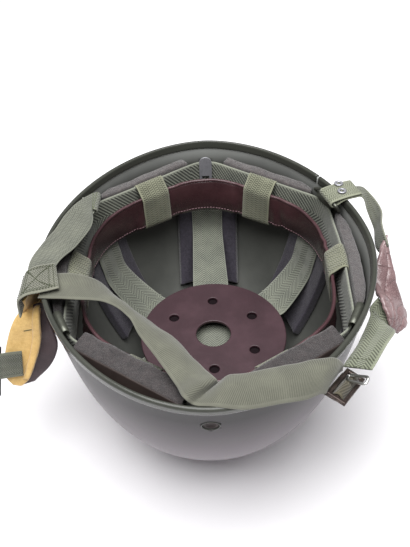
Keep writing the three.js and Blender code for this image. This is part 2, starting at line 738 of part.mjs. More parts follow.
// Black side buckle with a slot, in the frame of its webbing.
function sideBuckle() {
  const outline = new THREE.Shape()
    .moveTo(1, -20)
    .lineTo(8, -22)
    .lineTo(20, -17)
    .lineTo(27, -9)
    .lineTo(27, 9)
    .lineTo(20, 17)
    .lineTo(8, 22)
    .lineTo(1, 20);
  outline.holes.push(new THREE.Path().moveTo(11, -9).lineTo(11, 9).lineTo(16, 9).lineTo(16, -9));
  const body = new THREE.ExtrudeGeometry(outline, { depth: 8, bevelEnabled: false });
  const last = BUCKLE_STRAP.at(-1);
  const across = vector(last.high).sub(vector(last.low)).normalize();
  const run = vector(last.high).sub(vector(BUCKLE_STRAP.at(-2).high));
  run.addScaledVector(across, -run.dot(across)).normalize();
  const middle = vector(last.low).lerp(vector(last.high), 0.5);
  const frame = new THREE.Matrix4().makeBasis(run, across, run.clone().cross(across)).setPosition(middle);
  return closed(body.translate(0, -6, -4).applyMatrix4(frame));
}

// Assembly

const looks = {
  paint: { color: 0x4c5247, roughness: 0.5, metalness: 0.1 },
  trim: { color: 0x7d8578, roughness: 0.4, metalness: 0 },
  steel: { color: 0xb9bbb8, roughness: 0.3, metalness: 1 },
  bronze: { color: 0x4a3a36, roughness: 0.4, metalness: 0.8 },
  webbing: { color: 0x7f876c, roughness: 0.95, metalness: 0 },
  leather: { color: 0x4c2c33, roughness: 0.5, metalness: 0 },
  cheek: { color: 0x96787d, roughness: 0.6, metalness: 0 },
  suede: { color: 0xe1b973, roughness: 0.95, metalness: 0 },
  felt: { color: 0x5f565c, roughness: 1, metalness: 0 },
  foam: { color: 0x3c3441, roughness: 1, metalness: 0 },
  plastic: { color: 0x1c1b1d, roughness: 0.5, metalness: 0 },
};

const helmet = new THREE.Group();
const rimFrame = new THREE.Group();
rimFrame.position.z = RIM_HEIGHT;
helmet.add(rimFrame);

function add(name, geometry, look) {
  const mesh = new THREE.Mesh(geometry, new THREE.MeshStandardMaterial(looks[look]));
  mesh.name = name;
  rimFrame.add(mesh);
}

add('shell', shell(), 'paint');
add('edge_trim', edgeTrim(), 'trim');
add('head_band', headBand(), 'webbing');
add('sweatband', sweatband(), 'leather');
add('crown_disc', crownDisc(), 'leather');
for (let i = 0; i < 6; i++) {
  add(`felt_strip_${i + 1}`, feltStrip(i), 'felt');
  add(`foam_block_${i + 1}`, foamBlock(HELD_CORNERS[i]), 'foam');
  add(`sweatband_loop_${i + 1}`, sweatbandLoop(i), 'webbing');
}
for (let i = 0; i < 3; i++) {
  add(`crown_strap_${i + 1}`, crownStrap(i), 'webbing');
}
for (const [place, end] of [['rear', 1], ['front', -1]]) {
  add(`${place}_screw`, screw(end), 'paint');
  add(`${place}_clip`, clip(end), 'steel');
}
for (const [number, angle] of [29, -29, 209, 151].entries()) {
  add(`bracket_${number + 1}`, bracket(angle), 'steel');
}
for (const side of ['left', 'right']) {
  add(`bail_${side}`, bail(BAILS[side]), 'steel');
}
add('side_strap', sheet(strapGrid(SIDE_STRAP, 30), WEBBING), 'webbing');
add('keeper', sheet(strapGrid(KEEPER, 8), WEBBING), 'webbing');
add('cross_strap', sheet(strapGrid(CROSS_STRAP, 40, { width: STRAP_WIDTH, columns: 3 }), WEBBING), 'webbing');
add('strap_slide', strapSlide(), 'bronze');
add('slide_hook', slideHook(), 'steel');
add('cheek_strap', sheet(strapGrid(CHEEK_STRAP, 10, { width: 20 }), WEBBING), 'webbing');
add('cheek_leather_right', sheet(strapGrid(CHEEK_LEATHER_RIGHT, 10, { columns: 3 }), 3), 'cheek');
add('loop_strap', sheet(strapGrid(LOOP_STRAP, 12), WEBBING), 'webbing');
add('tab_right', tabRight(), 'webbing');
add('tab_eyelet_1', eyelet([104, 63, 8.1]), 'steel');
add('tab_eyelet_2', eyelet([105, 53, 8.1]), 'steel');
add('cheek_suede_left', sheet(strapGrid(SUEDE_LEFT, 8, { columns: 3 }), 2.2), 'suede');
add('cheek_leather_left', sheet(strapGrid(LEATHER_LEFT, 8, { columns: 3 }), 2), 'leather');
add('buckle_strap', sheet(strapGrid(BUCKLE_STRAP, 4), WEBBING), 'webbing');
add('side_buckle', sideBuckle(), 'plastic');

export default helmet;
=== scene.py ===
# A steel combat helmet lying upside down on its crown, with its suspension liner and its chin harness.
# Tables are in millimetres from the middle of the rim's plane, as in the part's source. Every mesh is
# made in metres, with the crown on the ground.
import math
import bmesh
import bpy
import numpy as np
from mathutils import Matrix, Vector, noise


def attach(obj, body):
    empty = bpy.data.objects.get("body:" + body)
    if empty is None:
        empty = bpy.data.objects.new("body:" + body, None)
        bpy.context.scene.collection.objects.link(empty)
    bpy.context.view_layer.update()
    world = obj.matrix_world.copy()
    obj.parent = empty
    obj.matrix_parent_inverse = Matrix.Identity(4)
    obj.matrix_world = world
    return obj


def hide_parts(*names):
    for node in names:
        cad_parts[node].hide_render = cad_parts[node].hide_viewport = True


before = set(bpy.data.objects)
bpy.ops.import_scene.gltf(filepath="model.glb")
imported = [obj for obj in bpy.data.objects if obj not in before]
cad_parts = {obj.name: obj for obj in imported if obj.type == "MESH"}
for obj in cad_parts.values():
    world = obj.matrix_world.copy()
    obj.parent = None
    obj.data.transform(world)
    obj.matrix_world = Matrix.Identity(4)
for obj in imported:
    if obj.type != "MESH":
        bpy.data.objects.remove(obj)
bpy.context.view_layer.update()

# Shell. A bowl pressed from one steel sheet 1.3 mm thick, with a hole at the front and the rear for the
# liner's screws. It is sprayed inside and out with a satin grey-green paint.
HALF_WIDTH, HALF_LENGTH, BOWL_DEPTH, RIM_HEIGHT = 120, 145.2, 159, 158
RIM_LIFT, RIM_SQUARE, RIM_EGG = 1.93, 0.081, 0.026
TRIM_OUT, SHELL_WALL = 1.1, 1.3
SCREW_HEIGHT, SCREW_HOLE = -22, 5.3
BOWL_SIDES, BOWL_LEVELS, FLAT_SHARE = 192, 64, 0.0794


def girth(rise):
    """Half width of the bowl as a share of the rim's, for a rise of 0 at the crown to 1 at the rim."""
    full = (1 - (1 - 0.97 * rise) ** 2.517) ** (1 / 2.07)
    return full * (1 - 0.063 * (1 - rise ** 6))


def surface(angle, height):
    """Points on the shell's outside. Near the rim it is squarer, egg-shaped and lifted at the sides."""
    angle, height = np.broadcast_arrays(np.asarray(angle, float), np.asarray(height, float))
    rise = np.clip(1 + height / BOWL_DEPTH, 0, 1)
    near_rim = rise ** 8
    power = 1 + RIM_SQUARE * near_rim
    cos, sin = np.cos(angle), np.sin(angle)
    shrink = TRIM_OUT * rise ** 12
    x = (HALF_WIDTH * girth(rise) - shrink) * np.sign(cos) * np.abs(cos) ** power
    y = (HALF_LENGTH * girth(rise) - shrink) * np.sign(sin) * np.abs(sin) ** power
    return np.stack([x * (1 - RIM_EGG * near_rim * sin), y, height + RIM_LIFT * near_rim * cos * cos], -1)


def unit(vectors):
    return vectors / np.maximum(np.linalg.norm(vectors, axis=-1, keepdims=True), 1e-9)


def outward(angle, height):
    level = np.minimum(height, -0.5)
    around = surface(angle + 0.01, height) - surface(angle - 0.01, height)
    return unit(np.cross(around, surface(angle, level + 0.5) - surface(angle, level - 0.5)))


def wall_point(angle, height, inset):
    return surface(angle, height) - outward(angle, height) * inset


def angle_of(point):
    return math.atan2(point[1] / HALF_LENGTH, point[0] / HALF_WIDTH)


def full_turn(count):
    """Angles at even steps round a full turn."""
    return np.linspace(0, 2 * math.pi, count, endpoint=False)


def link_new(name, data):
    piece = bpy.data.objects.new(name, data)
    bpy.context.scene.collection.objects.link(piece)
    return piece


def new_piece(name, points, faces, uvs=None):
    """Mesh object from points in millimetres; uvs holds one pair in metres for each corner of each face."""
    mesh = bpy.data.meshes.new(name)
    places = np.asarray(points, float).reshape(-1, 3) * 0.001 + (0, 0, RIM_HEIGHT * 0.001)
    mesh.from_pydata(places.tolist(), [], [list(face) for face in faces])
    if uvs is not None:
        layer = mesh.uv_layers.new(name="UVMap")
        layer.data.foreach_set("uv", np.asarray(uvs, np.float32).ravel())
    whole = bmesh.new()
    whole.from_mesh(mesh)
    bmesh.ops.recalc_face_normals(whole, faces=whole.faces)
    whole.to_mesh(mesh)
    whole.free()
    mesh.polygons.foreach_set("use_smooth", [True] * len(mesh.polygons))
    return link_new(name, mesh)


def dress(piece, material, slot_name, *nodes):
    piece.data.materials.clear()
    piece.data.materials.append(material)
    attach(piece, "root")
    if nodes:
        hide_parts(*nodes)


def finished_mesh(piece):
    """Applies the modifiers of a piece, so that only a plain mesh is left."""
    bpy.context.view_layer.update()
    graph = bpy.context.evaluated_depsgraph_get()
    mesh = bpy.data.meshes.new_from_object(piece.evaluated_get(graph))
    piece.modifiers.clear()
    if piece.type == "MESH":
        piece.data = mesh
        return piece
    name, curve = piece.name, piece.data
    bpy.data.objects.remove(piece)
    bpy.data.curves.remove(curve)
    return link_new(name, mesh)


def tube_faces(rows, joined=False, capped=False):
    """Faces through rows of equally many points, each row a closed ring. The last row can be joined to the
    first, or both can be capped."""
    size = len(rows[0])
    faces = []
    for r in range(len(rows) if joined else len(rows) - 1):
        here, there = r * size, ((r + 1) % len(rows)) * size
        faces += [(here + c, there + c, there + (c + 1) % size, here + (c + 1) % size)
                  for c in range(size)]
    if capped:
        faces += [list(range(size)), list(range((len(rows) - 1) * size, len(rows) * size))]
    return faces


def drawn_in(ring, share, height):
    """A ring drawn in towards the middle, flat at one height."""
    return ring * (share, share, 0) + (0, 0, height)


bowl_turn = full_turn(BOWL_SIDES)
bowl_heights = -BOWL_DEPTH * (1 - np.linspace(1, FLAT_SHARE, BOWL_LEVELS) ** 2)
outer_floor, inner_floor = bowl_heights[-1], bowl_heights[-1] + SHELL_WALL
outer_rows = [surface(bowl_turn, height) for height in bowl_heights]
inner_rows = [wall_point(bowl_turn, height, SHELL_WALL) for height in bowl_heights[:-1]]
inner_rows += [drawn_in(outer_rows[-1], share, inner_floor) for share in (0.85, 0.4)]
outer_rows.append(drawn_in(outer_rows[-1], 0.4, outer_floor))
rows = inner_rows[::-1] + outer_rows
points = np.concatenate(rows + [[[0, 0, inner_floor], [0, 0, outer_floor]]])
inner_pole, outer_pole = len(points) - 2, len(points) - 1
last_row = (len(rows) - 1) * BOWL_SIDES
faces = tube_faces(rows)
faces += [(inner_pole, c, (c + 1) % BOWL_SIDES) for c in range(BOWL_SIDES)]
faces += [(outer_pole, last_row + (c + 1) % BOWL_SIDES, last_row + c) for c in range(BOWL_SIDES)]
shell = new_piece("steel_shell", points, faces)


def screw_seat(end):
    """Place of a screw on the shell and its axis into the helmet; end is 1 at the rear, -1 at the front."""
    angle = end * math.pi / 2
    return surface(angle, SCREW_HEIGHT), -outward(angle, SCREW_HEIGHT)


def axis_frame(at, axis):
    """Matrix in metres that takes local +Z to an axis at a place in millimetres."""
    turn = Vector(axis).to_track_quat("Z", "Y").to_matrix().to_4x4()
    return Matrix.Translation(Vector(at) * 0.001 + Vector((0, 0, RIM_HEIGHT * 0.001))) @ turn


for end in (1, -1):
    drill_mesh = bmesh.new()
    bmesh.ops.create_cone(drill_mesh, cap_ends=True, segments=40, radius1=SCREW_HOLE * 0.001,
                          radius2=SCREW_HOLE * 0.001, depth=0.012, matrix=axis_frame(*screw_seat(end)))
    drill_data = bpy.data.meshes.new("drill")
    drill_mesh.to_mesh(drill_data)
    drill_mesh.free()
    drill = link_new("drill", drill_data)
    bore = shell.modifiers.new("screw hole", "BOOLEAN")
    bore.operation, bore.object, bore.solver = "DIFFERENCE", drill, "EXACT"
    shell = finished_mesh(shell)
    bpy.data.objects.remove(drill)
    bpy.data.meshes.remove(drill_data)


def linear(channel):
    channel /= 255
    return channel / 12.92 if channel <= 0.04045 else ((channel + 0.055) / 1.055) ** 2.4


def tint(red, green, blue):
    return (linear(red), linear(green), linear(blue), 1)


class Value:
    """A number or vector in a shader tree. Arithmetic on it adds math nodes to the tree."""

    def __init__(self, tree, socket):
        self.tree, self.socket = tree, socket

    def math(self, operation, *others):
        node = self.tree.nodes.new("ShaderNodeMath")
        node.operation = operation
        for term, into in zip((self, *others), node.inputs):
            feed(term, into)
        return Value(self.tree, node.outputs[0])

    def clamped(self):
        self.socket.node.use_clamp = True
        return self

    def __add__(self, other):
        return self.math("ADD", other)

    def __sub__(self, other):
        return self.math("SUBTRACT", other)

    def __mul__(self, other):
        return self.math("MULTIPLY", other)

    def __truediv__(self, other):
        return self.math("DIVIDE", other)


def feed(term, into):
    """Puts a Value or a plain number into an input."""
    if isinstance(term, Value):
        term.tree.links.new(term.socket, into)
    else:
        into.default_value = term


def parts(vector):
    node = vector.tree.nodes.new("ShaderNodeSeparateXYZ")
    feed(vector, node.inputs["Vector"])
    return [Value(vector.tree, socket) for socket in node.outputs]


def noise_value(place, scale, detail=3, rough=0.55, distortion=0):
    node = place.tree.nodes.new("ShaderNodeTexNoise")
    for label, term in (("Vector", place), ("Scale", scale), ("Detail", detail), ("Roughness", rough),
                        ("Distortion", distortion)):
        feed(term, node.inputs[label])
    return Value(place.tree, node.outputs["Fac"])


def pattern_group(name, **inputs):
    """Starts a shader group with three outputs: Shade, Height and Wear. Returns the Values of the object's
    own coordinates and of each input."""
    tree = bpy.data.node_groups.new(name, "ShaderNodeTree")
    for label, value in inputs.items():
        socket = tree.interface.new_socket(name=label, in_out="INPUT", socket_type="NodeSocketFloat")
        socket.default_value = value
    for label in ("Shade", "Height", "Wear"):
        tree.interface.new_socket(name=label, in_out="OUTPUT", socket_type="NodeSocketFloat")
    source = tree.nodes.new("NodeGroupInput")
    coordinates = tree.nodes.new("ShaderNodeTexCoord")
    given = [Value(tree, source.outputs[label]) for label in inputs]
    return [Value(tree, coordinates.outputs["Object"]), *given]


def close_group(**outputs):
    """Ends the group that the outputs are in and returns it."""
    tree = outputs["Shade"].tree
    end = tree.nodes.new("NodeGroupOutput")
    for label, value in outputs.items():
        feed(value, end.inputs[label])
    return tree


def finish(name, pattern, values, stops, wear_and_light, roughness, bump, **shader):
    """Material: the pattern's Shade runs through the two colour stops, its third output mixes in a third
    colour, and Height is the bump. The third colour is real wear in most finishes and painted light in the
    shell's paints. Roughness runs from its first value to its second over Shade."""
    material = bpy.data.materials.new(name)
    material.use_nodes = True
    tree = material.node_tree
    surface_shader = tree.nodes["Principled BSDF"]
    group = tree.nodes.new("ShaderNodeGroup")
    group.node_tree = pattern
    for label, value in values.items():
        group.inputs[label].default_value = value
    ramp = tree.nodes.new("ShaderNodeValToRGB")
    for element, (position, colour) in zip(ramp.color_ramp.elements, stops):
        element.position, element.color = position, tint(*colour)
    mix = tree.nodes.new("ShaderNodeMix")
    mix.data_type = "RGBA"
    mix.inputs["B"].default_value = tint(*wear_and_light)
    gloss = tree.nodes.new("ShaderNodeMapRange")
    gloss.inputs["To Min"].default_value, gloss.inputs["To Max"].default_value = roughness
    relief = tree.nodes.new("ShaderNodeBump")
    relief.inputs["Strength"].default_value, relief.inputs["Distance"].default_value = bump
    for output, into in (
            (group.outputs["Shade"], ramp.inputs["Fac"]), (group.outputs["Wear"], mix.inputs["Factor"]),
            (group.outputs["Shade"], gloss.inputs["Value"]),
            (group.outputs["Height"], relief.inputs["Height"]),
            (ramp.outputs["Color"], mix.inputs["A"]),
            (mix.outputs["Result"], surface_shader.inputs["Base Color"]),
            (gloss.outputs["Result"], surface_shader.inputs["Roughness"]),
            (relief.outputs["Normal"], surface_shader.inputs["Normal"])):
        tree.links.new(output, into)
    for label, value in shader.items():
        surface_shader.inputs[label.replace("_", " ")].default_value = value
    return material


# Sprayed paint: a fine orange peel, cloudy gloss, and a few rubbed places.
place, rubs = pattern_group("sprayed paint", rubs=0.4)
peel, cloud = noise_value(place, 900, 2), noise_value(place, 18, 4)
rubs_and_painted_light = (noise_value(place, 130, 6, 0.75) * cloud - 0.36).clamped() * rubs
paint_pattern = close_group(Shade=cloud * 0.7 + peel * 0.3, Height=peel, Wear=rubs_and_painted_light)

# Paint made paler over a range of heights, as painted light: it begins at start and is full after reach.
place, start, reach = pattern_group("paint lit by height", start=0.14, reach=0.014)
cloud = noise_value(place, 26, 4)
rubs_and_painted_light = (((parts(place)[2] - start) / reach).clamped() * (cloud * 0.5 + 0.6)).clamped()
lit_by_height_pattern = close_group(Shade=cloud, Height=noise_value(place, 900, 2), Wear=rubs_and_painted_light)

# The outside is a darker copy of the inside's paint, as painted shade, and grows paler towards the crown as
# painted light from the floor. The inside is paler near the rim as a painted highlight.
outer_paint_with_painted_light = finish("outer_paint_painted_shade_and_light", lit_by_height_pattern, {"start": 0.14, "reach": -0.085},
                     [(0.3, (31, 28, 30)), (0.7, (40, 36, 38))], (146, 138, 144), (0.3, 0.4), (0.12, 0.0002),
                     Specular_IOR_Level=0.2)
inner_paint = finish("inner_paint", lit_by_height_pattern, {"start": 0.14, "reach": 0.014},
                     [(0.3, (70, 71, 68)), (0.7, (84, 85, 81))], (172, 174, 171), (0.3, 0.4), (0.12, 0.0002))
dress(shell, outer_paint_with_painted_light, "paint", "shell")
shell.data.materials.append(inner_paint)
inner_faces = [face.normal.dot(face.center - Vector((0, 0, face.center.z + 0.09))) < 0
               for face in shell.data.polygons]
shell.data.polygons.foreach_set("material_index", inner_faces)

# Edge trim. A soft U-shaped strip pushed over the raw edge of the steel. Its two ends meet at the right,
# beside the rear bail, where a small dark joint is left.
trim_turns = np.linspace(math.radians(37.2), math.radians(36.2) + 2 * math.pi, 384)
trim_profile = [(-TRIM_OUT + 0.1, -5.0), (-TRIM_OUT, -4.6), (-TRIM_OUT, -3.0), (-TRIM_OUT, -1.2)]
trim_profile += [(SHELL_WALL / 2 - 1.75 * math.cos(a), -0.4 + 1.75 * math.sin(a))
                 for a in np.linspace(0, math.pi, 13)]
trim_profile += [(2.4, -1.2), (2.4, -3.0), (2.4, -4.6), (2.3, -5.0), (1.7, -5.0), (1.6, -2.0), (1.6, 0.25),
                 (-0.3, 0.25), (-0.3, -2.0), (-0.4, -5.0)]


def trim_ring(angle):
    return [wall_point(angle, min(rise, 0), inset) + (0, 0, max(rise, 0)) for inset, rise in trim_profile]


trim_rows = [trim_ring(angle) for angle in trim_turns]
trim = new_piece("rim_trim", np.array(trim_rows), tube_faces(trim_rows, capped=True))
trim_finish = finish("trim_rubber", paint_pattern, {"rubs": 0.2}, [(0.3, (58, 60, 55)), (0.7, (72, 73, 67))],
                     (112, 112, 108), (0.2, 0.3), (0.1, 0.0002), Specular_IOR_Level=0.35)
dress(trim, trim_finish, "trim", "edge_trim")

# Head band. One ring of stiff woven webbing that hangs inside the shell, held at its six corners. It is
# thick at its two selvedges, and the diagonal ribs of its twill show.
BAND_TOP, BAND_BOTTOM, BAND_THICK, BAND_LEAN = -12, -42, 1.8, 0.00083
RIGHT_CORNERS = [(0, 135, 16), (97, 69.5, 14), (100.5, 0, 6), (97, -70, 14), (0, -135.5, 16)]
BAND_CORNERS = RIGHT_CORNERS + [(-x, y, reach) for x, y, reach in RIGHT_CORNERS[3:0:-1]]


def leaned(point, height):
    """Place at a height of the band, which is a little narrower lower down."""
    scale = 1 + (height - BAND_TOP) * BAND_LEAN
    return np.array([point[0] * scale, point[1] * scale, height])


def round_corners(corners, steps):
    """Closed route through (point, reach) corners, each rounded over its reach."""
    route = []
    for i, (at, reach) in enumerate(corners):
        at = np.asarray(at, float)
        start = at + unit(np.asarray(corners[i - 1][0], float) - at) * reach
        end = at + unit(np.asarray(corners[(i + 1) % len(corners)][0], float) - at) * reach
        for t in np.linspace(0, 1, steps):
            route.append((1 - t) ** 2 * start + 2 * t * (1 - t) * at + t * t * end)
    return np.array(route)


def even_route(route, step, loop=False):
    """Points at even distances along a route."""
    if loop:
        route = np.concatenate([route, route[:1]])
    lengths = np.concatenate([[0], np.cumsum(np.linalg.norm(np.diff(route, axis=0), axis=1))])
    count = max(int(lengths[-1] / step), 2)
    marks = np.linspace(0, lengths[-1], count + 1)
    even = np.stack([np.interp(marks, lengths, route[:, k]) for k in range(3)], -1)
    return even[:-1] if loop else even


def wobble(points, size, scale, seed=0):
    """Smooth noise from -size to size at each point; scale is the width of its lumps in millimetres."""
    flat = np.asarray(points, float).reshape(-1, 3)
    values = [noise.noise(Vector(p) / scale + Vector((seed * 7.3, seed * 3.1, 0))) for p in flat]
    return (np.array(values) * size).reshape(np.asarray(points).shape[:-1])


def grid_normals(grid, loop=False):
    if loop:
        along = np.roll(grid, -1, 0) - np.roll(grid, 1, 0)
    else:
        along = np.gradient(grid, axis=0)
    return unit(np.cross(along, np.gradient(grid, axis=1)))


def ring_piece(name, rings, u, v, caps, loop=False):
    """Piece through rows of points, each row a closed ring, with u round the ring and v along the piece. An
    open piece is closed by caps, faces given as places in its first and last ring."""
    count, size = rings.shape[:2]
    faces, uvs = [], []
    for r in range(count if loop else count - 1):
        here, there = r * size, ((r + 1) % count) * size
        for c in range(size):
            d = (c + 1) % size
            faces.append((here + c, there + c, there + d, here + d))
            uvs += [(u[c], v[r]), (u[c], v[r + 1]), (u[d], v[r + 1]), (u[d], v[r])]
    for r in () if loop else (0, count - 1):
        for corners in caps:
            faces.append([r * size + c for c in corners])
            uvs += [(u[c], v[r]) for c in corners]
    return new_piece(name, rings, faces, uvs)


def ribbon(name, grid, thick, loop, edge):
    """Closed band about a grid of points on its middle surface, with rounded long edges. Its UV map holds
    the distance across, from the middle, and the distance along."""
    columns = grid.shape[1]
    taper = np.ones(columns)
    taper[[0, -1]] = edge
    offset = grid_normals(grid, loop) * (thick / 2) * taper[None, :, None]
    side = unit(grid[:, -1] - grid[:, 0]) * thick * 0.3
    low, high = grid[:, :1] - side[:, None], grid[:, -1:] + side[:, None]
    rings = np.concatenate([grid + offset, high, (grid - offset)[:, ::-1], low], axis=1)
    across = np.concatenate([[0], np.cumsum(np.linalg.norm(np.diff(grid, axis=1), axis=2).mean(0))])
    across = (across - across[-1] / 2) * 0.001
    u = np.concatenate([across, [across[-1]], across[::-1], [across[0]]])
    middle = grid[:, columns // 2]
    if loop:
        middle = np.concatenate([middle, middle[:1]])
    v = np.concatenate([[0], np.cumsum(np.linalg.norm(np.diff(middle, axis=0), axis=1))]) * 0.001
    caps = [(c, c + 1, 2 * columns - c - 1, 2 * columns - c) for c in range(columns - 1)]
    caps += [(0, 2 * columns, 2 * columns + 1), (columns - 1, columns, columns + 1)]
    return ring_piece(name, rings, u, v, caps, loop)


def strap(name, grid, material, slot_name, *nodes, thick=1.4, loop=False, edge=0.75):
    """A ribbon in its material. The long edges are thinner than the middle, by the share edge."""
    dress(ribbon(name, grid, thick, loop, edge), material, slot_name, *nodes)


# Woven webbing: ribs that run straight or in chevrons, fine threads between them, and firmer selvedges.
place, rib_size, chevron, slant, half_width, dust = pattern_group(
    "woven webbing", rib=0.0022, chevron=0.006, slant=1.0, half_width=0.0125, dust=0.3)
across, along, _ = parts(Value(place.tree, place.tree.nodes.new("ShaderNodeUVMap").outputs["UV"]))
zigzag = (across + 1.0).math("PINGPONG", chevron)
rib = ((along + zigzag * slant) / rib_size * (2 * math.pi)).math("SINE") * 0.5 + 0.5
thread = (across / rib_size * (4 * math.pi)).math("SINE") * 0.5 + 0.5
selvedge = ((across.math("ABSOLUTE") - (half_width - 0.0016)) / 0.0006).clamped()
lint, stain = noise_value(place, 1400, 2, 0.7), noise_value(place, 60, 4)
weave = (rib * 0.75 + thread * rib * 0.35).math("MAXIMUM", selvedge * (thread * 0.2 + 0.65))
weave_shade = (weave * 0.55 + lint * 0.35 + (stain - 0.5) * 0.3).clamped()
webbing_pattern = close_group(Shade=weave_shade, Height=weave, Wear=(stain - 0.45).clamped() * dust)


def webbing(name, dark, light, half_width, rib=0.0022, chevron=0.006, slant=1.0, relief=0.9):
    values = {"rib": rib, "chevron": chevron, "slant": slant, "half_width": half_width, "dust": 0.5}
    return finish(name, webbing_pattern, values, [(0.12, dark), (0.75, light)], (138, 140, 120), (0.95, 0.85),
                  (relief, 0.0005), Sheen_Weight=0.25, Sheen_Roughness=0.5)


band_curve = round_corners([((x, y, BAND_TOP), reach) for x, y, reach in BAND_CORNERS], 9)
band_route = even_route(band_curve, 2.2, loop=True)
band_levels = np.linspace(BAND_BOTTOM, BAND_TOP, 12)
band_grid = np.array([[leaned(point, height) for height in band_levels] for point in band_route])
band_out = unit(band_grid * (1, 1, 0))
band_grid = band_grid + band_out * wobble(band_grid * (1, 1, 0.4), 0.35, 22, 3)[..., None]
band_finish = webbing("band_twill", (34, 38, 32), (140, 143, 130), 0.015, 0.0032, 0.5, 0.9)
strap("band_webbing", band_grid, band_finish, "webbing", "head_band", thick=BAND_THICK, loop=True)

# Felt strips. Six thick strips of grey-brown needled felt stand between the band and the shell and keep
# the band off the steel. Their cut edges are soft and speckled with stray fibres.
STRETCHES = [(0, 1), (1, 2, 3), (3, 4), (4, 5), (5, 6, 7), (7, 0)]
HELD_CORNERS = [0, 1, 3, 4, 5, 7]


def stretch_corners(stretch):
    return [np.array(BAND_CORNERS[c][:2]) for c in STRETCHES[stretch]]


def along_stretch(stretch, share, height):
    """Middle of the band on a stretch, with the directions along it and out of the helmet."""
    corners = stretch_corners(stretch)
    place = share * (len(corners) - 1)
    index = min(int(place), len(corners) - 2)
    flat = corners[index] + (corners[index + 1] - corners[index]) * (place - index)
    run = corners[-1] - corners[0] if len(corners) > 2 else corners[1] - corners[0]
    run = unit(np.append(run, 0.0))
    return leaned(flat, height), run, -np.cross(run, (0, 0, 1))


def spline(stations, shares):
    """Centripetal curve through stations, at shares of its length counted in stations."""
    stations = np.asarray(stations, float)
    last = len(stations) - 1
    found = []
    for share in shares:
        place = share * last
        i = min(int(place), last - 1)
        t = place - i
        p1, p2 = stations[i], stations[i + 1]
        p0 = stations[i - 1] if i > 0 else 2 * p1 - p2
        p3 = stations[i + 2] if i + 2 <= last else 2 * p2 - p1
        d1, d2, d3 = [max(np.linalg.norm(b - a), 1e-4) ** 0.5 for a, b in ((p0, p1), (p1, p2), (p2, p3))]
        m1 = ((p1 - p0) / d1 - (p2 - p0) / (d1 + d2) + (p2 - p1) / d2) * d2
        m2 = ((p2 - p1) / d2 - (p3 - p1) / (d2 + d3) + (p3 - p2) / d3) * d2
        found.append((2 * t ** 3 - 3 * t ** 2 + 1) * p1 + (t ** 3 - 2 * t ** 2 + t) * m1
                     + (3 * t ** 2 - 2 * t ** 3) * p2 + (t ** 3 - t ** 2) * m2)
    return np.array(found)


def room(point, direction, inset, step=0.25):
    """How far a point can move out before it is within a distance of the shell's outside."""
    reach = 0
    while True:
        moved = point + direction * (reach + step)
        wall = surface(angle_of(moved), point[2])
        if np.hypot(*wall[:2]) - np.hypot(*moved[:2]) <= inset:
            return reach
        reach += step


def ticks(half, radius, step):
    """Marks along a rounded side: even ones between the roundings, and three in each rounding."""
    inner = half - radius
    count = max(int(2 * inner / step), 1)
    edge = [half, half - radius * 0.12, half - radius * 0.45]
    return np.concatenate([-np.array(edge), np.linspace(-inner, inner, count + 1), edge[::-1]])


def rounded_box(name, half, radius, step, warp):
    """Closed box with rounded edges, half sizes in millimetres, whose points warp then puts in place. Its UV
    map holds its own first two measures."""
    marks = [ticks(h, min(radius, h * 0.98), step) for h in half]
    core = np.array(half) - np.minimum(radius, np.array(half) * 0.98)
    box_mesh = bmesh.new()
    for axis in range(3):
        first, second = [marks[k] for k in range(3) if k != axis]
        for side in (-1, 1):
            corners = {}
            for i, a in enumerate(first):
                for j, b in enumerate(second):
                    spot = [a, b]
                    spot.insert(axis, side * half[axis])
                    corners[i, j] = box_mesh.verts.new(spot)
            for i in range(len(first) - 1):
                for j in range(len(second) - 1):
                    square = [corners[i, j], corners[i + 1, j], corners[i + 1, j + 1], corners[i, j + 1]]
                    box_mesh.faces.new(square)
    bmesh.ops.remove_doubles(box_mesh, verts=box_mesh.verts, dist=1e-4)
    box_mesh.verts.ensure_lookup_table()
    spots = np.array([v.co for v in box_mesh.verts])
    kept = np.clip(spots, -core, core)
    local = kept + unit(spots - kept) * np.minimum(radius, np.array(half) * 0.98)
    local = np.where(np.abs(spots - kept).sum(1, keepdims=True) > 1e-6, local, spots)
    flat_side = (np.abs(spots - kept) > 1e-6).sum(1) == 1
    local[flat_side] = spots[flat_side]
    faces = [[v.index for v in face.verts] for face in box_mesh.faces]
    box_mesh.free()
    uvs = [local[i][:2] * 0.001 for face in faces for i in face]
    return new_piece(name, warp(local), faces, uvs)


place, fibre_scale, lump_scale, speckle = pattern_group("matted fibre", fibre=1500, lump=220, speckle=0.5)
fibres = noise_value(place, fibre_scale, 4, 0.75, 1.2)
fibre_shade = fibres * 0.6 + noise_value(place, lump_scale, 5, 0.5) * 0.4
speckled = ((fibres - 0.6).clamped() * 6).clamped() * speckle
fibre_pattern = close_group(Shade=fibre_shade, Height=fibre_shade, Wear=speckled)

place, grain_scale, crease_scale, patina_share = pattern_group(
    "grained leather", grain=700, crease=60, patina=0.4)
cells = place.tree.nodes.new("ShaderNodeTexVoronoi")
cells.feature = "DISTANCE_TO_EDGE"
feed(place, cells.inputs["Vector"])
feed(grain_scale, cells.inputs["Scale"])
grain = (Value(place.tree, cells.outputs["Distance"]) * 1.6).clamped()
patina = noise_value(place, 35, 5)
crease = noise_value(place, crease_scale, 4, 0.5, 0.8)
leather_pattern = close_group(Shade=patina * 0.7 + grain * 0.3, Height=grain * 0.35 + crease * 0.9,
                              Wear=(patina - 0.48).clamped() * patina_share)


def leather(name, pattern_values, dark, light, wear_and_light, roughness, bump, **shader):
    """Leather; pattern_values are its grain, its crease and its patina."""
    values = dict(zip(("grain", "crease", "patina"), pattern_values))
    return finish(name, leather_pattern, values, [(0.25, dark), (0.75, light)], wear_and_light, roughness, bump,
                  **shader)


def felt(name, speckle, dark, light, wear_and_light, sheen):
    return finish(name, fibre_pattern, {"fibre": 1100, "lump": 260, "speckle": speckle},
                  [(0.35, dark), (0.68, light)], wear_and_light, (1, 0.95), (1, 0.0014), Sheen_Weight=sheen,
                  Sheen_Roughness=0.6)
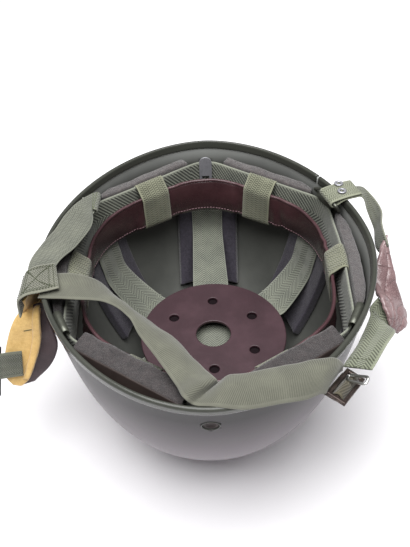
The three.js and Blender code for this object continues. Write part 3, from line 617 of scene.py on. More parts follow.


# A thin backing over the outer slope of each front strip, dark brown as painted shade on that slope.
shade_backing_finish = leather("felt_shade_backing", (1000, 50, 0.4), (44, 35, 33), (60, 50, 47), (84, 74, 70),
                         (0.4, 0.5), (0.3, 0.0004))
felt_finish = felt("needled_felt", 0.55, (30, 26, 28), (84, 75, 74), (156, 145, 140), 0.4)
# The two front strips get a darker copy of the felt with less sheen, as painted shade.
shaded_front_felt_finish = felt("front_felt", 0.5, (26, 22, 24), (70, 62, 62), (140, 128, 124), 0.25)
FELT_TOP, FELT_BOTTOM, FELT_GAP, FELT_THICK, FELT_SHARE = -11, -41, 3, 8.5, 0.36
FRONT_STRETCHES = (2, 3)
LIP_SECTION = [(-6.5, -8.2), (3, -8.6), (3, -41), (11.5, -41), (11.5, -24), (6.6, -9.2), (-6.5, -5.5)]
BACKING_SECTION = [(6.9, -9.4), (9.4, -16.6), (11.9, -24), (11.9, -40)]


def felt_spot(stretch, share, out_by, height):
    """Place on a section of a felt strip, kept clear of the shell."""
    at, _, out = along_stretch(stretch, share, height)
    return at + out * min(out_by, FELT_GAP + room(at + out * FELT_GAP, out, SHELL_WALL + 1))


def bent_felt(name, stretch, half_length):
    """One of the two strips at the front, which are bent in over the band at the top."""
    corners = [((out, height, 0), 0.9) for out, height in LIP_SECTION]
    section = even_route(round_corners(corners, 5), 1.3, loop=True)
    rows = []
    for x in ticks(half_length, 1.6, 1.8):
        pinch = max(0, abs(x) - half_length + 1.6) / 1.6 * 0.5
        share = 0.5 + FELT_SHARE * x / half_length
        rows.append([felt_spot(stretch, share, out - pinch * np.sign(out - 5), height)
                     for out, height, _ in section])
    rows = np.array(rows)
    rows = rows + wobble(rows, 0.9, 14, stretch)[..., None] * (0, 0, 1)
    rows = rows + unit(rows * (1, 1, 0)) * wobble(rows, 0.7, 5, 9)[..., None]
    return new_piece(name, rows, tube_faces(rows, capped=True))


for stretch in range(6):
    corners = stretch_corners(stretch)
    half_length = FELT_SHARE * sum(np.linalg.norm(b - a) for a, b in zip(corners, corners[1:]))

    def lay_felt(local):
        places = []
        for x, z, depth in local:
            share = 0.5 + FELT_SHARE * x / half_length
            at, _, out = along_stretch(stretch, share, z + (FELT_TOP + FELT_BOTTOM) / 2)
            inner = at + out * FELT_GAP
            thick = min(FELT_THICK, room(inner, out, SHELL_WALL + 1))
            places.append(inner + out * thick * (0.5 + depth / FELT_THICK))
        places = np.array(places)
        swell = unit(places * (1, 1, 0)) * wobble(places, 0.4, 7, 9)[:, None]
        return places + (0, 0, 1) * wobble(places, 1.1, 16, stretch)[:, None] + swell

    if stretch in FRONT_STRETCHES:
        strip = bent_felt(f"felt_{stretch + 1}", stretch, half_length)
        backing_line = spline([(out, 0, height) for out, height in BACKING_SECTION], np.linspace(0, 1, 16))
        backing_grid = [[felt_spot(stretch, share, out, height) for share in np.linspace(0.15, 0.85, 40)]
                        for out, _, height in backing_line]
        strap(f"felt_shade_backing_{stretch + 1}", np.array(backing_grid), shade_backing_finish, "leather", thick=0.7)
    else:
        half_sizes = (half_length, (FELT_TOP - FELT_BOTTOM) / 2, FELT_THICK / 2)
        strip = rounded_box(f"felt_{stretch + 1}", half_sizes, 1.6, 3.2, lay_felt)
    strip_finish = shaded_front_felt_finish if stretch in FRONT_STRETCHES else felt_finish
    dress(strip, strip_finish, "felt", f"felt_strip_{stretch + 1}")

# Foam blocks. Six dark, dense pads glued to the steel where the crown straps come down, so that the straps
# don't rub on the paint. They have crisp cut sides and a fine closed skin.
FOAM_TOP, FOAM_BOTTOM, FOAM_WIDTH, FOAM_THICK, FOAM_INSET = -49, -121, 57, 7, 2
foam_finish = finish("dense_foam", fibre_pattern, {"fibre": 900, "lump": 420, "speckle": 0.3},
                     [(0.3, (28, 25, 32)), (0.75, (64, 59, 71))], (100, 93, 104), (1, 0.9), (0.8, 0.0006),
                     Sheen_Weight=0.3)


def around_radian(angle, height):
    """Millimetres round the shell for each radian."""
    return np.linalg.norm(surface(angle + 0.05, height) - surface(angle - 0.05, height), axis=-1) / 0.1


for number, corner in enumerate(HELD_CORNERS):
    middle = angle_of(BAND_CORNERS[corner])

    def lay_foam(local):
        height = (FOAM_TOP + FOAM_BOTTOM) / 2 + local[:, 1]
        inset = (FOAM_INSET + FOAM_THICK / 2 + local[:, 2])[:, None]
        places = wall_point(middle + local[:, 0] / around_radian(middle, height), height, inset)
        return places + outward(middle, height) * wobble(places, 0.3, 9, number)[:, None]

    half_sizes = (FOAM_WIDTH / 2, (FOAM_TOP - FOAM_BOTTOM) / 2, FOAM_THICK / 2)
    block = rounded_box(f"foam_{number + 1}", half_sizes, 1.1, 3.5, lay_foam)
    dress(block, foam_finish, "foam", f"foam_block_{number + 1}")

# Crown straps. Three long straps in herringbone webbing run from corner to corner of the band, down the
# foam and across under the leather disc, where they lie on each other.
DISC = {"x": 2.8, "y": 0.9, "radius": 59, "thick": 2.5, "top": -92, "holes": 6, "ring": 37.4, "hole": 4,
        "centre": 14}
CROWN_INSET = FOAM_INSET + FOAM_THICK + 1.6
CROWN_LEVELS = (-104.2, -106.4, -108.6)
CROWN_COLUMNS, CROWN_STEPS = 11, 190
ON_FOAM = [(-42, -1.4), (-49, 0.4), (-56, 0), (-64, 0), (-80, 0)]
UNDER_DISC = [(64, -95.6), (55, -96.1), (38, -104.1)]
crown_finish = webbing("crown_herringbone", (46, 50, 42), (138, 141, 128), 0.015, 0.002, 0.0075, 0.9)
disc_middle = np.array([DISC["x"], DISC["y"], 0.0])


def crown_half(corner, level):
    """Half of a crown strap, from a corner of the band to the disc's middle, as rows of points across it."""
    seat = leaned(BAND_CORNERS[corner], BAND_BOTTOM)
    away = unit((seat - disc_middle) * (1, 1, 0))
    across = np.cross((0, 0, 1), away)
    angle = angle_of(seat)
    shifts = np.linspace(-15, 15, CROWN_COLUMNS)
    on_foam = [wall_point(angle + shifts / around_radian(angle, height), height, CROWN_INSET + further)
               for height, further in ON_FOAM]
    on_foam[0][:, 2] = BAND_BOTTOM - 0.9
    under = [disc_middle + away * distance + across * shifts[:, None] + (0, 0, height)
             for distance, height in (*UNDER_DISC, (30, level), (0, level))]
    return np.array(on_foam + under)


crown_grids = []
for number, level in enumerate(CROWN_LEVELS):
    first, second = [crown_half(HELD_CORNERS[place], level) for place in (number, number + 3)]
    stations = np.concatenate([first, second[:-1][::-1, ::-1]])
    marks = np.linspace(0, 1, CROWN_STEPS)
    crown_grid = np.stack([spline(stations[:, c], marks) for c in range(CROWN_COLUMNS)], 1)
    crown_grids.append(crown_grid)
    strap(f"crown_webbing_{number + 1}", crown_grid, crown_finish, "webbing", f"crown_strap_{number + 1}")


def on_grid(grid, places, lift):
    """Line in millimetres over a grid, through places given as shares along and across it."""
    normals = grid_normals(grid)
    found = []
    for along_share, across_share in places:
        r, c = along_share * (grid.shape[0] - 1), across_share * (grid.shape[1] - 1)
        i, j = min(int(r), grid.shape[0] - 2), min(int(c), grid.shape[1] - 2)
        a, b = r - i, c - j
        at = ((1 - a) * (1 - b) * grid[i, j] + a * (1 - b) * grid[i + 1, j] + (1 - a) * b * grid[i, j + 1]
              + a * b * grid[i + 1, j + 1])
        found.append(at + normals[i, j] * lift)
    return np.array(found)


# Crown disc. A round leather plate with smooth cut edges and one hole in the middle of a ring of six. The
# crown straps are sewn to its underside.


def plate(name, outline, holes, thick, bevel, matrix):
    """Flat plate from an outline and holes, each a list of points in millimetres, with rounded edges. Its
    middle is the matrix's XY plane."""
    curve = bpy.data.curves.new(name, "CURVE")
    curve.dimensions = "2D"
    curve.fill_mode = "BOTH"
    for loop_points in [outline, *holes]:
        line = curve.splines.new("POLY")
        line.points.add(len(loop_points) - 1)
        for point, (x, y) in zip(line.points, loop_points):
            point.co = (x * 0.001, y * 0.001, 0, 1)
        line.use_cyclic_u = True
    curve.extrude = (thick / 2 - bevel) * 0.001
    curve.bevel_depth = bevel * 0.001
    curve.bevel_resolution = 3
    curve.offset = -bevel * 0.001
    piece = finished_mesh(link_new(name, curve))
    piece.data.transform(matrix)
    piece.data.polygons.foreach_set("use_smooth", [True] * len(piece.data.polygons))
    return piece


def circle(x, y, radius, count=48):
    return [(x + radius * math.cos(a), y + radius * math.sin(a)) for a in full_turn(count)]


disc_finish = leather("disc_leather", (900, 90, 0.8), (50, 30, 36), (67, 43, 50), (94, 68, 76), (0.42, 0.54),
                      (0.35, 0.0004))
disc_holes = [circle(DISC["ring"] * math.cos(a), DISC["ring"] * math.sin(a), DISC["hole"], 24)
              for a in full_turn(DISC["holes"]) + math.pi / 6]
disc_holes.append(circle(0, 0, DISC["centre"], 64))
disc_height = RIM_HEIGHT + DISC["top"] - DISC["thick"] / 2
disc_place = Matrix.Translation(Vector((DISC["x"], DISC["y"], disc_height)) * 0.001)
disc = plate("leather_disc", circle(0, 0, DISC["radius"], 160), disc_holes, DISC["thick"], 0.7, disc_place)
dress(disc, disc_finish, "leather", "crown_disc")

# A thin dark leather sheet under the disc: painted shade, seen in its six small holes.
hole_shade_finish = leather("disc_hole_shade", (900, 90, 0.2), (18, 11, 14), (28, 19, 22), (36, 26, 30), (0.8, 0.9),
                        (0.3, 0.0003), Specular_IOR_Level=0.1)
hole_shade_place = Matrix.Translation((0, 0, (-DISC["thick"] / 2 - 0.3) * 0.001)) @ disc_place
hole_shade_middle_hole = circle(0, 0, DISC["centre"] + 0.4, 64)
hole_shade_sheet = plate("disc_hole_shade", circle(0, 0, DISC["radius"] - 2, 96), [hole_shade_middle_hole], 0.5, 0.1, hole_shade_place)
dress(hole_shade_sheet, hole_shade_finish, "leather")

# Sweatband. A strip of thin dark leather that touches the wearer's head, with a rolled top edge and a row
# of stitches near the bottom. It bulges between the webbing loops and puckers beside each of them.
SWEAT_TOP, SWEAT_BOTTOM, SWEAT_THICK = -20, -48, 1.8
SWEAT_HALF_WIDTH, SWEAT_REAR, SWEAT_FRONT, SWEAT_LOBES, SWEAT_LEAN = 93, 111, 105, 0.025, 4


def sweat_point(angle, height):
    """Points on the sweatband, which leans in at the front and rear and out at the sides."""
    length = np.where(np.sin(angle) > 0, SWEAT_REAR, SWEAT_FRONT)
    lobe = 1 - SWEAT_LOBES * np.cos(6 * angle)
    tilt = SWEAT_LEAN * (np.sin(angle) ** 2 - np.cos(angle) ** 2)
    lean = tilt * (SWEAT_TOP - height) / (SWEAT_TOP - SWEAT_BOTTOM)
    return np.stack(np.broadcast_arrays((SWEAT_HALF_WIDTH * lobe - lean) * np.cos(angle),
                                        (length * lobe - lean) * np.sin(angle), height), -1)


def loop_angle(stretch):
    at = along_stretch(stretch, 0.5, SWEAT_TOP)[0]
    return math.atan2(at[1] / ((SWEAT_REAR + SWEAT_FRONT) / 2), at[0] / SWEAT_HALF_WIDTH)


loop_angles = np.array([loop_angle(stretch) for stretch in range(6)])
sweat_turn = full_turn(420)
levels = np.linspace(0, 1, 13)
nearest = np.abs((sweat_turn[:, None] - loop_angles[None] + math.pi) % (2 * math.pi) - math.pi).min(1)
held = np.exp(-(nearest / 0.15) ** 2)
beside = np.exp(-((nearest - 0.2) / 0.09) ** 2)
sweat_grid = sweat_point(sweat_turn[:, None], (SWEAT_BOTTOM + (SWEAT_TOP - SWEAT_BOTTOM) * levels)[None, :])
inward = -unit(sweat_grid * (1, 1, 0))
belly = (1 - held)[:, None] * np.sin(math.pi * levels)[None, :] * 1.8
pucker = beside[:, None] * wobble(sweat_grid * (1, 1, 0.25), 2.4, 6.5, 4) * (1 - 0.4 * levels[None, :])
sweat_grid = sweat_grid + inward * (belly + pucker + wobble(sweat_grid, 0.5, 14, 2))[..., None]
sweat_grid[..., 2] += wobble(sweat_grid * (1, 1, 0), 0.7, 18, 5) * levels[None, :]
sweat_finish = leather("sweatband_leather", (1100, 70, 0.5), (50, 29, 32), (70, 43, 46), (104, 74, 78),
                       (0.18, 0.3), (0.4, 0.0007), Specular_IOR_Level=0.8)
strap("sweatband_leather", sweat_grid, sweat_finish, "leather", "sweatband", thick=SWEAT_THICK, loop=True,
      edge=0.9)
rolled_finish = leather("rolled_leather_edge", (1100, 90, 0.8), (62, 39, 43), (88, 62, 66), (124, 96, 100),
                        (0.26, 0.38), (0.4, 0.0005))


def tube(name, route, radius, sides=16):
    """Round wire along an even, closed route."""
    rings = []
    tangents = unit(np.roll(route, -1, 0) - np.roll(route, 1, 0))
    normal = unit(np.cross(tangents[0], (0.3, 0.2, 1)))
    for at, tangent in zip(route, tangents):
        normal = unit(normal - tangent * (normal @ tangent))
        other = np.cross(tangent, normal)
        rings.append([at + radius * (normal * math.cos(a) + other * math.sin(a)) for a in full_turn(sides)])
    rings = np.array(rings)
    shift = int(np.linalg.norm(rings[-1] - rings[0, 0], axis=1).argmin())
    faces = tube_faces(rings)
    here = (len(route) - 1) * sides
    faces += [(here + (c + shift) % sides, c, (c + 1) % sides, here + (c + 1 + shift) % sides)
              for c in range(sides)]
    return new_piece(name, rings, faces)


def stitch_tree():
    """Geometry Nodes tree that lays thread stitches along the lines of a mesh."""
    tree = bpy.data.node_groups.new("thread stitches", "GeometryNodeTree")
    tree.interface.new_socket(name="Lines", in_out="INPUT", socket_type="NodeSocketGeometry")
    for label in ("Pitch", "Length", "Thread"):
        tree.interface.new_socket(name=label, in_out="INPUT", socket_type="NodeSocketFloat")
    tree.interface.new_socket(name="Material", in_out="INPUT", socket_type="NodeSocketMaterial")
    tree.interface.new_socket(name="Stitches", in_out="OUTPUT", socket_type="NodeSocketGeometry")
    nodes = {name: tree.nodes.new(kind) for name, kind in {
        "in": "NodeGroupInput", "curve": "GeometryNodeMeshToCurve", "even": "GeometryNodeResampleCurve",
        "bead": "GeometryNodeMeshUVSphere", "size": "ShaderNodeCombineXYZ",
        "place": "GeometryNodeInstanceOnPoints", "along": "GeometryNodeInputTangent",
        "turn": "FunctionNodeAlignRotationToVector",
        "real": "GeometryNodeRealizeInstances", "look": "GeometryNodeSetMaterial",
        "smooth": "GeometryNodeSetShadeSmooth", "out": "NodeGroupOutput"}.items()}
    nodes["even"].mode = "LENGTH"
    nodes["bead"].inputs["Segments"].default_value = 6
    nodes["bead"].inputs["Rings"].default_value = 4
    nodes["bead"].inputs["Radius"].default_value = 0.5
    nodes["turn"].axis = "Z"
    for (a, out), (b, into) in [
            (("in", "Lines"), ("curve", "Mesh")), (("curve", "Curve"), ("even", "Curve")),
            (("in", "Pitch"), ("even", "Length")), (("even", "Curve"), ("place", "Points")),
            (("bead", "Mesh"), ("place", "Instance")), (("in", "Thread"), ("size", "X")),
            (("in", "Thread"), ("size", "Y")), (("in", "Length"), ("size", "Z")),
            (("size", "Vector"), ("place", "Scale")), (("along", "Tangent"), ("turn", "Vector")),
            (("turn", "Rotation"), ("place", "Rotation")), (("place", "Instances"), ("real", "Geometry")),
            (("real", "Geometry"), ("smooth", "Geometry")), (("smooth", "Geometry"), ("look", "Geometry")),
            (("in", "Material"), ("look", "Material")), (("look", "Geometry"), ("out", "Stitches"))]:
        tree.links.new(nodes[a].outputs[out], nodes[b].inputs[into])
    return tree


stitches = stitch_tree()


def sew(name, lines, material, slot_name, pitch=3.2, length=2.3, thread=0.75):
    """Rows of stitches along lines. The lines, the pitch, the length and the thread are in millimetres."""
    mesh = bpy.data.meshes.new(name)
    points = np.concatenate(lines) * 0.001 + (0, 0, RIM_HEIGHT * 0.001)
    edges, first = [], 0
    for line in lines:
        edges += [(first + i, first + i + 1) for i in range(len(line) - 1)]
        first += len(line)
    mesh.from_pydata(points.tolist(), edges, [])
    seam = link_new(name, mesh)
    sewing = seam.modifiers.new("stitches", "NODES")
    sewing.node_group = stitches
    sockets = {item.name: item.identifier for item in stitches.interface.items_tree if item.in_out == "INPUT"}
    for label, value in {"Pitch": pitch * 0.001, "Length": length * 0.001, "Thread": thread * 0.001,
                         "Material": material}.items():
        sewing[sockets[label]] = value
    dress(finished_mesh(seam), material, slot_name)


def thread_finish(name, dark, light, wear_and_light, roughness=(0.9, 0.8)):
    return finish(name, fibre_pattern, {"fibre": 3000, "lump": 600, "speckle": 0.2},
                  [(0.2, dark), (0.8, light)], wear_and_light, roughness, (0.3, 0.0002))


pink_thread = thread_finish("pink_thread", (150, 112, 120), (196, 160, 168), (220, 200, 204), (0.7, 0.6))
green_thread = thread_finish("green_thread", (70, 80, 52), (128, 136, 100), (160, 164, 140))
pale_thread = thread_finish("pale_thread", (120, 122, 108), (160, 162, 146), (190, 190, 176))

# A row of stitches across each crown strap, just outside the disc.
strap_rows = []
for crown_grid in crown_grids:
    for half in (slice(0, CROWN_STEPS // 2), slice(CROWN_STEPS // 2, CROWN_STEPS)):
        distance = np.linalg.norm(crown_grid[half, CROWN_COLUMNS // 2, :2] - disc_middle[:2], axis=1)
        row = half.start + int(np.abs(distance - DISC["radius"] - 7).argmin())
        normal = grid_normals(crown_grid)[row]
        strap_rows.append(crown_grid[row] + normal * np.sign(normal[:, 2:]) * 0.9)
sew("crown_strap_stitches", strap_rows, pale_thread, "webbing", 2.6, 1.9, 0.6)
closed_sweat = np.concatenate([sweat_grid, sweat_grid[:1]])
hem_line = on_grid(closed_sweat, [(share, 0.1) for share in np.linspace(0, 1, 300)], 0)
hem_line = hem_line - unit(hem_line * (1, 1, 0)) * 1.0
sew("sweatband_stitches", [hem_line], pink_thread, "leather", 2.6, 2.0, 0.4)
rolled_route = even_route(sweat_grid[:, -1] + (0, 0, 0.2), 1.6, loop=True)
rolled_edge = tube("sweatband_rolled_edge", rolled_route, 1.35, 10)
dress(rolled_edge, rolled_finish, "leather")

# Sweatband loops. Six short closed straps of basket-woven webbing that go round the band and the sweatband
# and hold one to the other.
loop_finish = webbing("loop_basket", (46, 49, 36), (146, 147, 124), 0.0125, 0.0019, 0.0021, 1.0)
LOOP_SECTION = [("band", 2.0, -44.5), ("band", 2.0, -27), ("band", 2.0, -12), ("band", 0.4, -9.6),
                ("band", -2.4, -10.8), ("sweat", 0.4, -17.4), ("sweat", -1.2, -17.8), ("sweat", -2.4, -20),
                ("sweat", -2.4, -34), ("sweat", -2.4, -48), ("sweat", -0.4, -50.2)]
for stretch in range(6):
    _, run, out = along_stretch(stretch, 0.5, BAND_TOP)
    corners = stretch_corners(stretch)
    chord = np.linalg.norm(corners[-1] - corners[0])
    columns = []
    for shift in np.linspace(-12.5, 12.5, 9):
        column = []
        for kind, distance, height in LOOP_SECTION:
            at = along_stretch(stretch, 0.5 + shift / chord, height)[0]
            if kind == "sweat":
                faced = sweat_point(full_turn(1440), height)
                faced = faced[faced @ out > 0]
                best = faced[np.abs((faced - at) @ run).argmin()]
                distance += (best - at) @ out
            column.append(at + out * distance)
        columns.append(column)
    stations = np.array(columns).transpose(1, 0, 2)
    loop_rows = []
    for here, there in zip(stations, np.roll(stations, -1, 0)):
        count = max(int(np.linalg.norm(there - here, axis=1).mean() / 1.6), 1)
        loop_rows += [here + (there - here) * (k / count) for k in range(count)]
    loop_grid = np.array(loop_rows)
    for _ in range(2):
        loop_grid = loop_grid * 0.5 + (np.roll(loop_grid, 1, 0) + np.roll(loop_grid, -1, 0)) * 0.25
    strap(f"loop_webbing_{stretch + 1}", loop_grid, loop_finish, "webbing", f"sweatband_loop_{stretch + 1}",
          thick=1.2, loop=True)

# Screws and clips. A round-headed steel screw with a wide collar goes through the shell at each end and
# carries the head band. A nickel tongue with a slot stands on the band's inner side at each screw.


def lathe(name, profile, matrix, count=40, ring=False):
    """Turned piece from (radius, depth) points. A ring's profile is closed, and a solid one is capped."""
    rows = [[(radius * math.cos(a), radius * math.sin(a), depth) for a in full_turn(count)]
            for radius, depth in profile]
    faces = tube_faces(rows, joined=ring, capped=not ring)
    piece = new_piece(name, np.array(rows) - (0, 0, RIM_HEIGHT), faces)
    piece.data.transform(matrix)
    return piece


def band_face(end, height):
    """How far the band reaches to the front or the rear at a height."""
    reach = np.abs(band_curve[:, 1] * (np.sign(band_curve[:, 1]) == end)).max()
    return reach * (1 + (height - BAND_TOP) * BAND_LEAN)


place, = pattern_group("worn steel")
stretch_map = place.tree.nodes.new("ShaderNodeMapping")
stretch_map.inputs["Scale"].default_value = (1, 1, 0.08)
feed(place, stretch_map.inputs["Vector"])
brushed = noise_value(Value(place.tree, stretch_map.outputs["Vector"]), 1800, 3, 0.6)
tarnish = noise_value(place, 150, 5, 0.7)
steel_pattern = close_group(Shade=brushed * 0.4 + tarnish * 0.6, Height=brushed,
                            Wear=(tarnish - 0.5).clamped())

bright_steel = finish("bright_steel", steel_pattern, {}, [(0.3, (176, 177, 175)), (0.7, (214, 214, 210))],
                      (120, 116, 108), (0.22, 0.36), (0.15, 0.0001), Metallic=1)
nickel = finish("dull_nickel", steel_pattern, {}, [(0.3, (132, 132, 138)), (0.7, (186, 186, 192))],
                (96, 94, 96), (0.28, 0.4), (0.1, 0.0001), Metallic=0.45)
dark_screw = finish("blackened_screw", steel_pattern, {}, [(0.3, (26, 15, 15)), (0.7, (38, 25, 24))],
                    (96, 78, 74), (0.5, 0.6), (0.15, 0.0001), Specular_IOR_Level=0.3)
CLIP_WIDTH, CLIP_HEIGHT, CLIP_THICK, CLIP_GAP, CLIP_FOOT = 11, 24, 1.2, 1.2, -30
clip_round = CLIP_WIDTH / 2
clip_outline = [(clip_round * math.cos(a), CLIP_HEIGHT - clip_round + clip_round * math.sin(a))
                for a in np.linspace(0, math.pi, 17)]
clip_outline = [(clip_round, 2), *clip_outline, (-clip_round, 2), (-4.9, 0.6), (-3.5, 0), (3.5, 0),
                (4.9, 0.6)]
clip_slot = [(-3, 3), (-3, 6), (3, 6), (3, 3)]
SCREW_HIGHLIGHT_RADIUS = 5.6
SCREW_HEAD = [(1.2, 1.6), (2.6, 1.5), (3.4, 0.7), (4.4, 0.25), (4.9, 0.5), (5, 0.9), (5, 2.3), (7.2, 2.3),
              (7.5, 2.6)]
for end_name, end in (("rear", 1), ("front", -1)):
    at, axis = screw_seat(end)
    to_band = (abs(at[1]) - band_face(end, SCREW_HEIGHT + 1.5)) / abs(axis[1])
    profile = SCREW_HEAD + [(7.5, to_band - 2.4), (7.2, to_band - 2.1), (3, to_band - 2.1),
                            (3, to_band + 1.2)]
    around = axis_frame(at, axis)
    screw = lathe(f"{end_name}_screw_turned", profile, around)
    dress(screw, dark_screw, "paint", f"{end_name}_screw")
    # A thin ring of the paler trim paint at the edge of each screw hole: a painted highlight on the hole's
    # lip.
    highlight_ring_line = [around @ Vector((x, y, 0)) for x, y in circle(0, 0, SCREW_HIGHLIGHT_RADIUS * 0.001, 60)]
    highlight_ring_line = np.array(highlight_ring_line) * 1000
    ring = tube(f"{end_name}_screw_highlight_ring", highlight_ring_line - (0, 0, RIM_HEIGHT), 0.35, 10)
    dress(ring, trim_finish, "trim")
    foot = band_face(end, CLIP_FOOT)
    inner_face = foot - BAND_THICK / 2 - CLIP_GAP - CLIP_THICK / 2
    clip_place = (Matrix.Translation(Vector((0, end * inner_face, RIM_HEIGHT + CLIP_FOOT)) * 0.001)
                  @ Matrix.Rotation(-end * math.atan(BAND_LEAN * foot), 4, "X")
                  @ Matrix.Rotation(math.pi / 2, 4, "X"))
    clip = plate(f"{end_name}_clip_tongue", clip_outline, [clip_slot], CLIP_THICK, 0.35, clip_place)
    dress(clip, nickel, "steel", f"{end_name}_clip")

# Brackets and bails. Four steel plates on the shell curl inwards at the top. The two at the rear hold wire
# bails in their curls, and the harness is folded over the bails' bars.
BRACKET_WIDTH, BRACKET_THICK, BRACKET_INSET, HOOK_HEIGHT = 20, 1.2, 3.0, -8
CURL_RADIUS = 2.35
BAIL_WIRE, BAIL_FOOT = 1.3, 18


def bracket_curl(angle):
    """Middle of a bracket's curl, the direction inwards and the direction along the curl."""
    inward_way = -unit(outward(angle, HOOK_HEIGHT) * (1, 1, 0))
    top = wall_point(angle, HOOK_HEIGHT, BRACKET_INSET)
    top[2] = HOOK_HEIGHT
    return top + inward_way * CURL_RADIUS, inward_way, np.cross(inward_way, (0, 0, 1))


grey_steel = finish("grey_steel", steel_pattern, {}, [(0.3, (84, 86, 78)), (0.7, (122, 124, 114))],
                    (62, 58, 52), (0.35, 0.5), (0.2, 0.0001), Metallic=0.7)
for number, degrees in enumerate((29, -29, 209, 151)):
    angle = math.radians(degrees)
    axis, inward_way, run = bracket_curl(angle)
    profile = [wall_point(angle, height, BRACKET_INSET) for height in (-30, -25, -20, -14)]
    for sweep in np.radians(range(0, 181, 12)):
        lift = np.array((0, 0, math.sin(sweep)))
        profile.append(axis + CURL_RADIUS * (lift - inward_way * math.cos(sweep)))
    profile.append(profile[-1] - (0, 0, 2.2))
    shifts = np.linspace(-BRACKET_WIDTH / 2, BRACKET_WIDTH / 2, 5)
    bracket_grid = np.array([[point + run * shift for shift in shifts] for point in profile])
    strap(f"bracket_plate_{number + 1}", bracket_grid, grey_steel, "steel", f"bracket_{number + 1}",
          thick=BRACKET_THICK)

RIGHT_BAR = [(99, 40, 3), (91, 64, 3)]
LEFT_BAR = [(-86, 69, 2), (-86.5, 41, 2)]
for side, degrees, bar in (("right", 29, RIGHT_BAR), ("left", 151, LEFT_BAR)):
    axis, _, run = bracket_curl(math.radians(degrees))
    corners = [(at, 3) for at in (axis + run * BAIL_FOOT, axis - run * BAIL_FOOT, *bar)]
    bail = tube(f"bail_wire_{side}", even_route(round_corners(corners, 7), 0.8, loop=True), BAIL_WIRE)
    dress(bail, grey_steel, "steel", f"bail_{side}")

# Side strap. A wide strap folded over the left bail, with a short tail under the bar, that goes forward to
# the keeper. Its weave is a fine basket, and the fold is sewn down with two rows of stitches.


def strap_grid(stations, steps, columns, width=0, creases=0.0, seed=0):
    """Grid between two edges. Stations are (low edge, high edge) or also have the rise of the middle. A width
    sets all rows to one width, and creases is the size of small waves."""
    marks = np.linspace(0, 1, steps + 1)
    low, high = spline([s[0] for s in stations], marks), spline([s[1] for s in stations], marks)
    rises = [station[2] if len(station) > 2 else 0 for station in stations]
    rises = np.interp(marks * (len(stations) - 1), range(len(stations)), rises)
    middle, half = (low + high) / 2, (high - low) / 2
    if width:
        half = unit(half) * width / 2
    across = np.linspace(-1, 1, columns)
    grid = middle[:, None] + half[:, None] * across[None, :, None]
    grid[..., 2] += rises[:, None] * (1 - across[None] ** 2)
    return grid + grid_normals(grid) * wobble(grid, creases, 11, seed)[..., None]


# Each row of a strap's table holds its low edge, its high edge and, where it curls, the rise of its middle.
SIDE_STRAP = [
    ((-98, 46, 0.6), (-98, 65, 0.6)),
    ((-87, 45.5, -0.5), (-86.5, 65, -0.5)),
    ((-84.7, 45.2, 0.2), (-84.2, 65.3, 0.2)),
    ((-84, 45, 2), (-83.5, 65.5, 2)),
    ((-84.7, 44.8, 3.8), (-84.2, 65.8, 3.8)),
    ((-87, 44.5, 4.5), (-86.5, 66, 4.5)),
    ((-85.5, 33, 4.6), (-98, 54, 5.4)),
    ((-86.5, 24, 3), (-106, 40, 5)),
    ((-95, 4, 2), (-112, 20, 5)),
    ((-104, -16, 5), (-119, 3, 5.2)),
    ((-107.5, -35, 6), (-124, -17, 6)),
    ((-106, -48, 6), (-122.5, -40, 5.5)),
]
side_finish = webbing("side_basket", (60, 63, 53), (130, 132, 119), 0.012, 0.0017, 0.0018, 0.9)
side_grid = strap_grid(SIDE_STRAP, 100, 13, creases=0.3, seed=1)
strap("side_webbing", side_grid, side_finish, "webbing", "side_strap")


def sewn_across(name, grid, shares, side, thread):
    """Rows of stitches across a strap, on both faces, at shares of its length and from side to side."""
    lines = [on_grid(grid, [(share, c) for c in np.linspace(side, 1 - side, 9)], lift)
             for share in shares for lift in (0.85, -0.85)]
    sew(name, lines, thread, "webbing", 2.6, 1.9, 0.6)


sewn_across("side_strap_stitches", side_grid, (0.44, 0.475), 0.08, green_thread)

# Keeper. A square of webbing sewn over the crossing of side strap and cross strap and down over the rim,
# with a dense box of stitches through all the layers.
KEEPER = [
    ((-99, -46.5, 7.9), (-105, -21.5, 7.9)),
    ((-112, -50.2, 7.9), (-115.5, -23.2, 7.9)),
    ((-120.3, -52, 7.4), (-121, -25, 7.4)),
    ((-126.2, -53, 3), (-126.2, -26, 3)),
    ((-127.5, -54, -6), (-127.5, -27, -6)),
    ((-127.5, -54.5, -11), (-127.5, -27.5, -11)),
]
keeper_finish = webbing("keeper_webbing", (58, 60, 48), (134, 134, 120), 0.0135, 0.0018, 0.0024, 1.0)
keeper_grid = strap_grid(KEEPER, 44, 15, creases=0.25, seed=2)
strap("keeper_webbing", keeper_grid, keeper_finish, "webbing", "keeper")


def box_stitch(grid, low, high, left, right, lift):
    """The four sides of a box and its two diagonals, over a grid. The box is given in shares of the grid."""
    corners = [(low, left), (low, right), (high, right), (high, left), (low, left), (high, right),
               (low, right), (high, left)]
    lines = []
    for (a, b), (c, d) in zip(corners, corners[1:]):
        lines.append(on_grid(grid, [(a + (c - a) * t, b + (d - b) * t) for t in np.linspace(0, 1, 12)], lift))
    return lines


dark_thread = thread_finish("dark_thread", (44, 50, 34), (84, 90, 66), (120, 124, 100))
keeper_up = 0.9 if grid_normals(keeper_grid)[5, 5][2] > 0 else -0.9
keeper_lines = []
for low, high in ((0.04, 0.5), (0.62, 0.96)):
    for margin in (0, 0.05):
        keeper_lines += box_stitch(keeper_grid, low + margin, high - margin, 0.08 + margin, 0.92 - margin,
                                   keeper_up)
sew("keeper_stitches", keeper_lines, dark_thread, "webbing", 1.9, 1.6, 0.6)

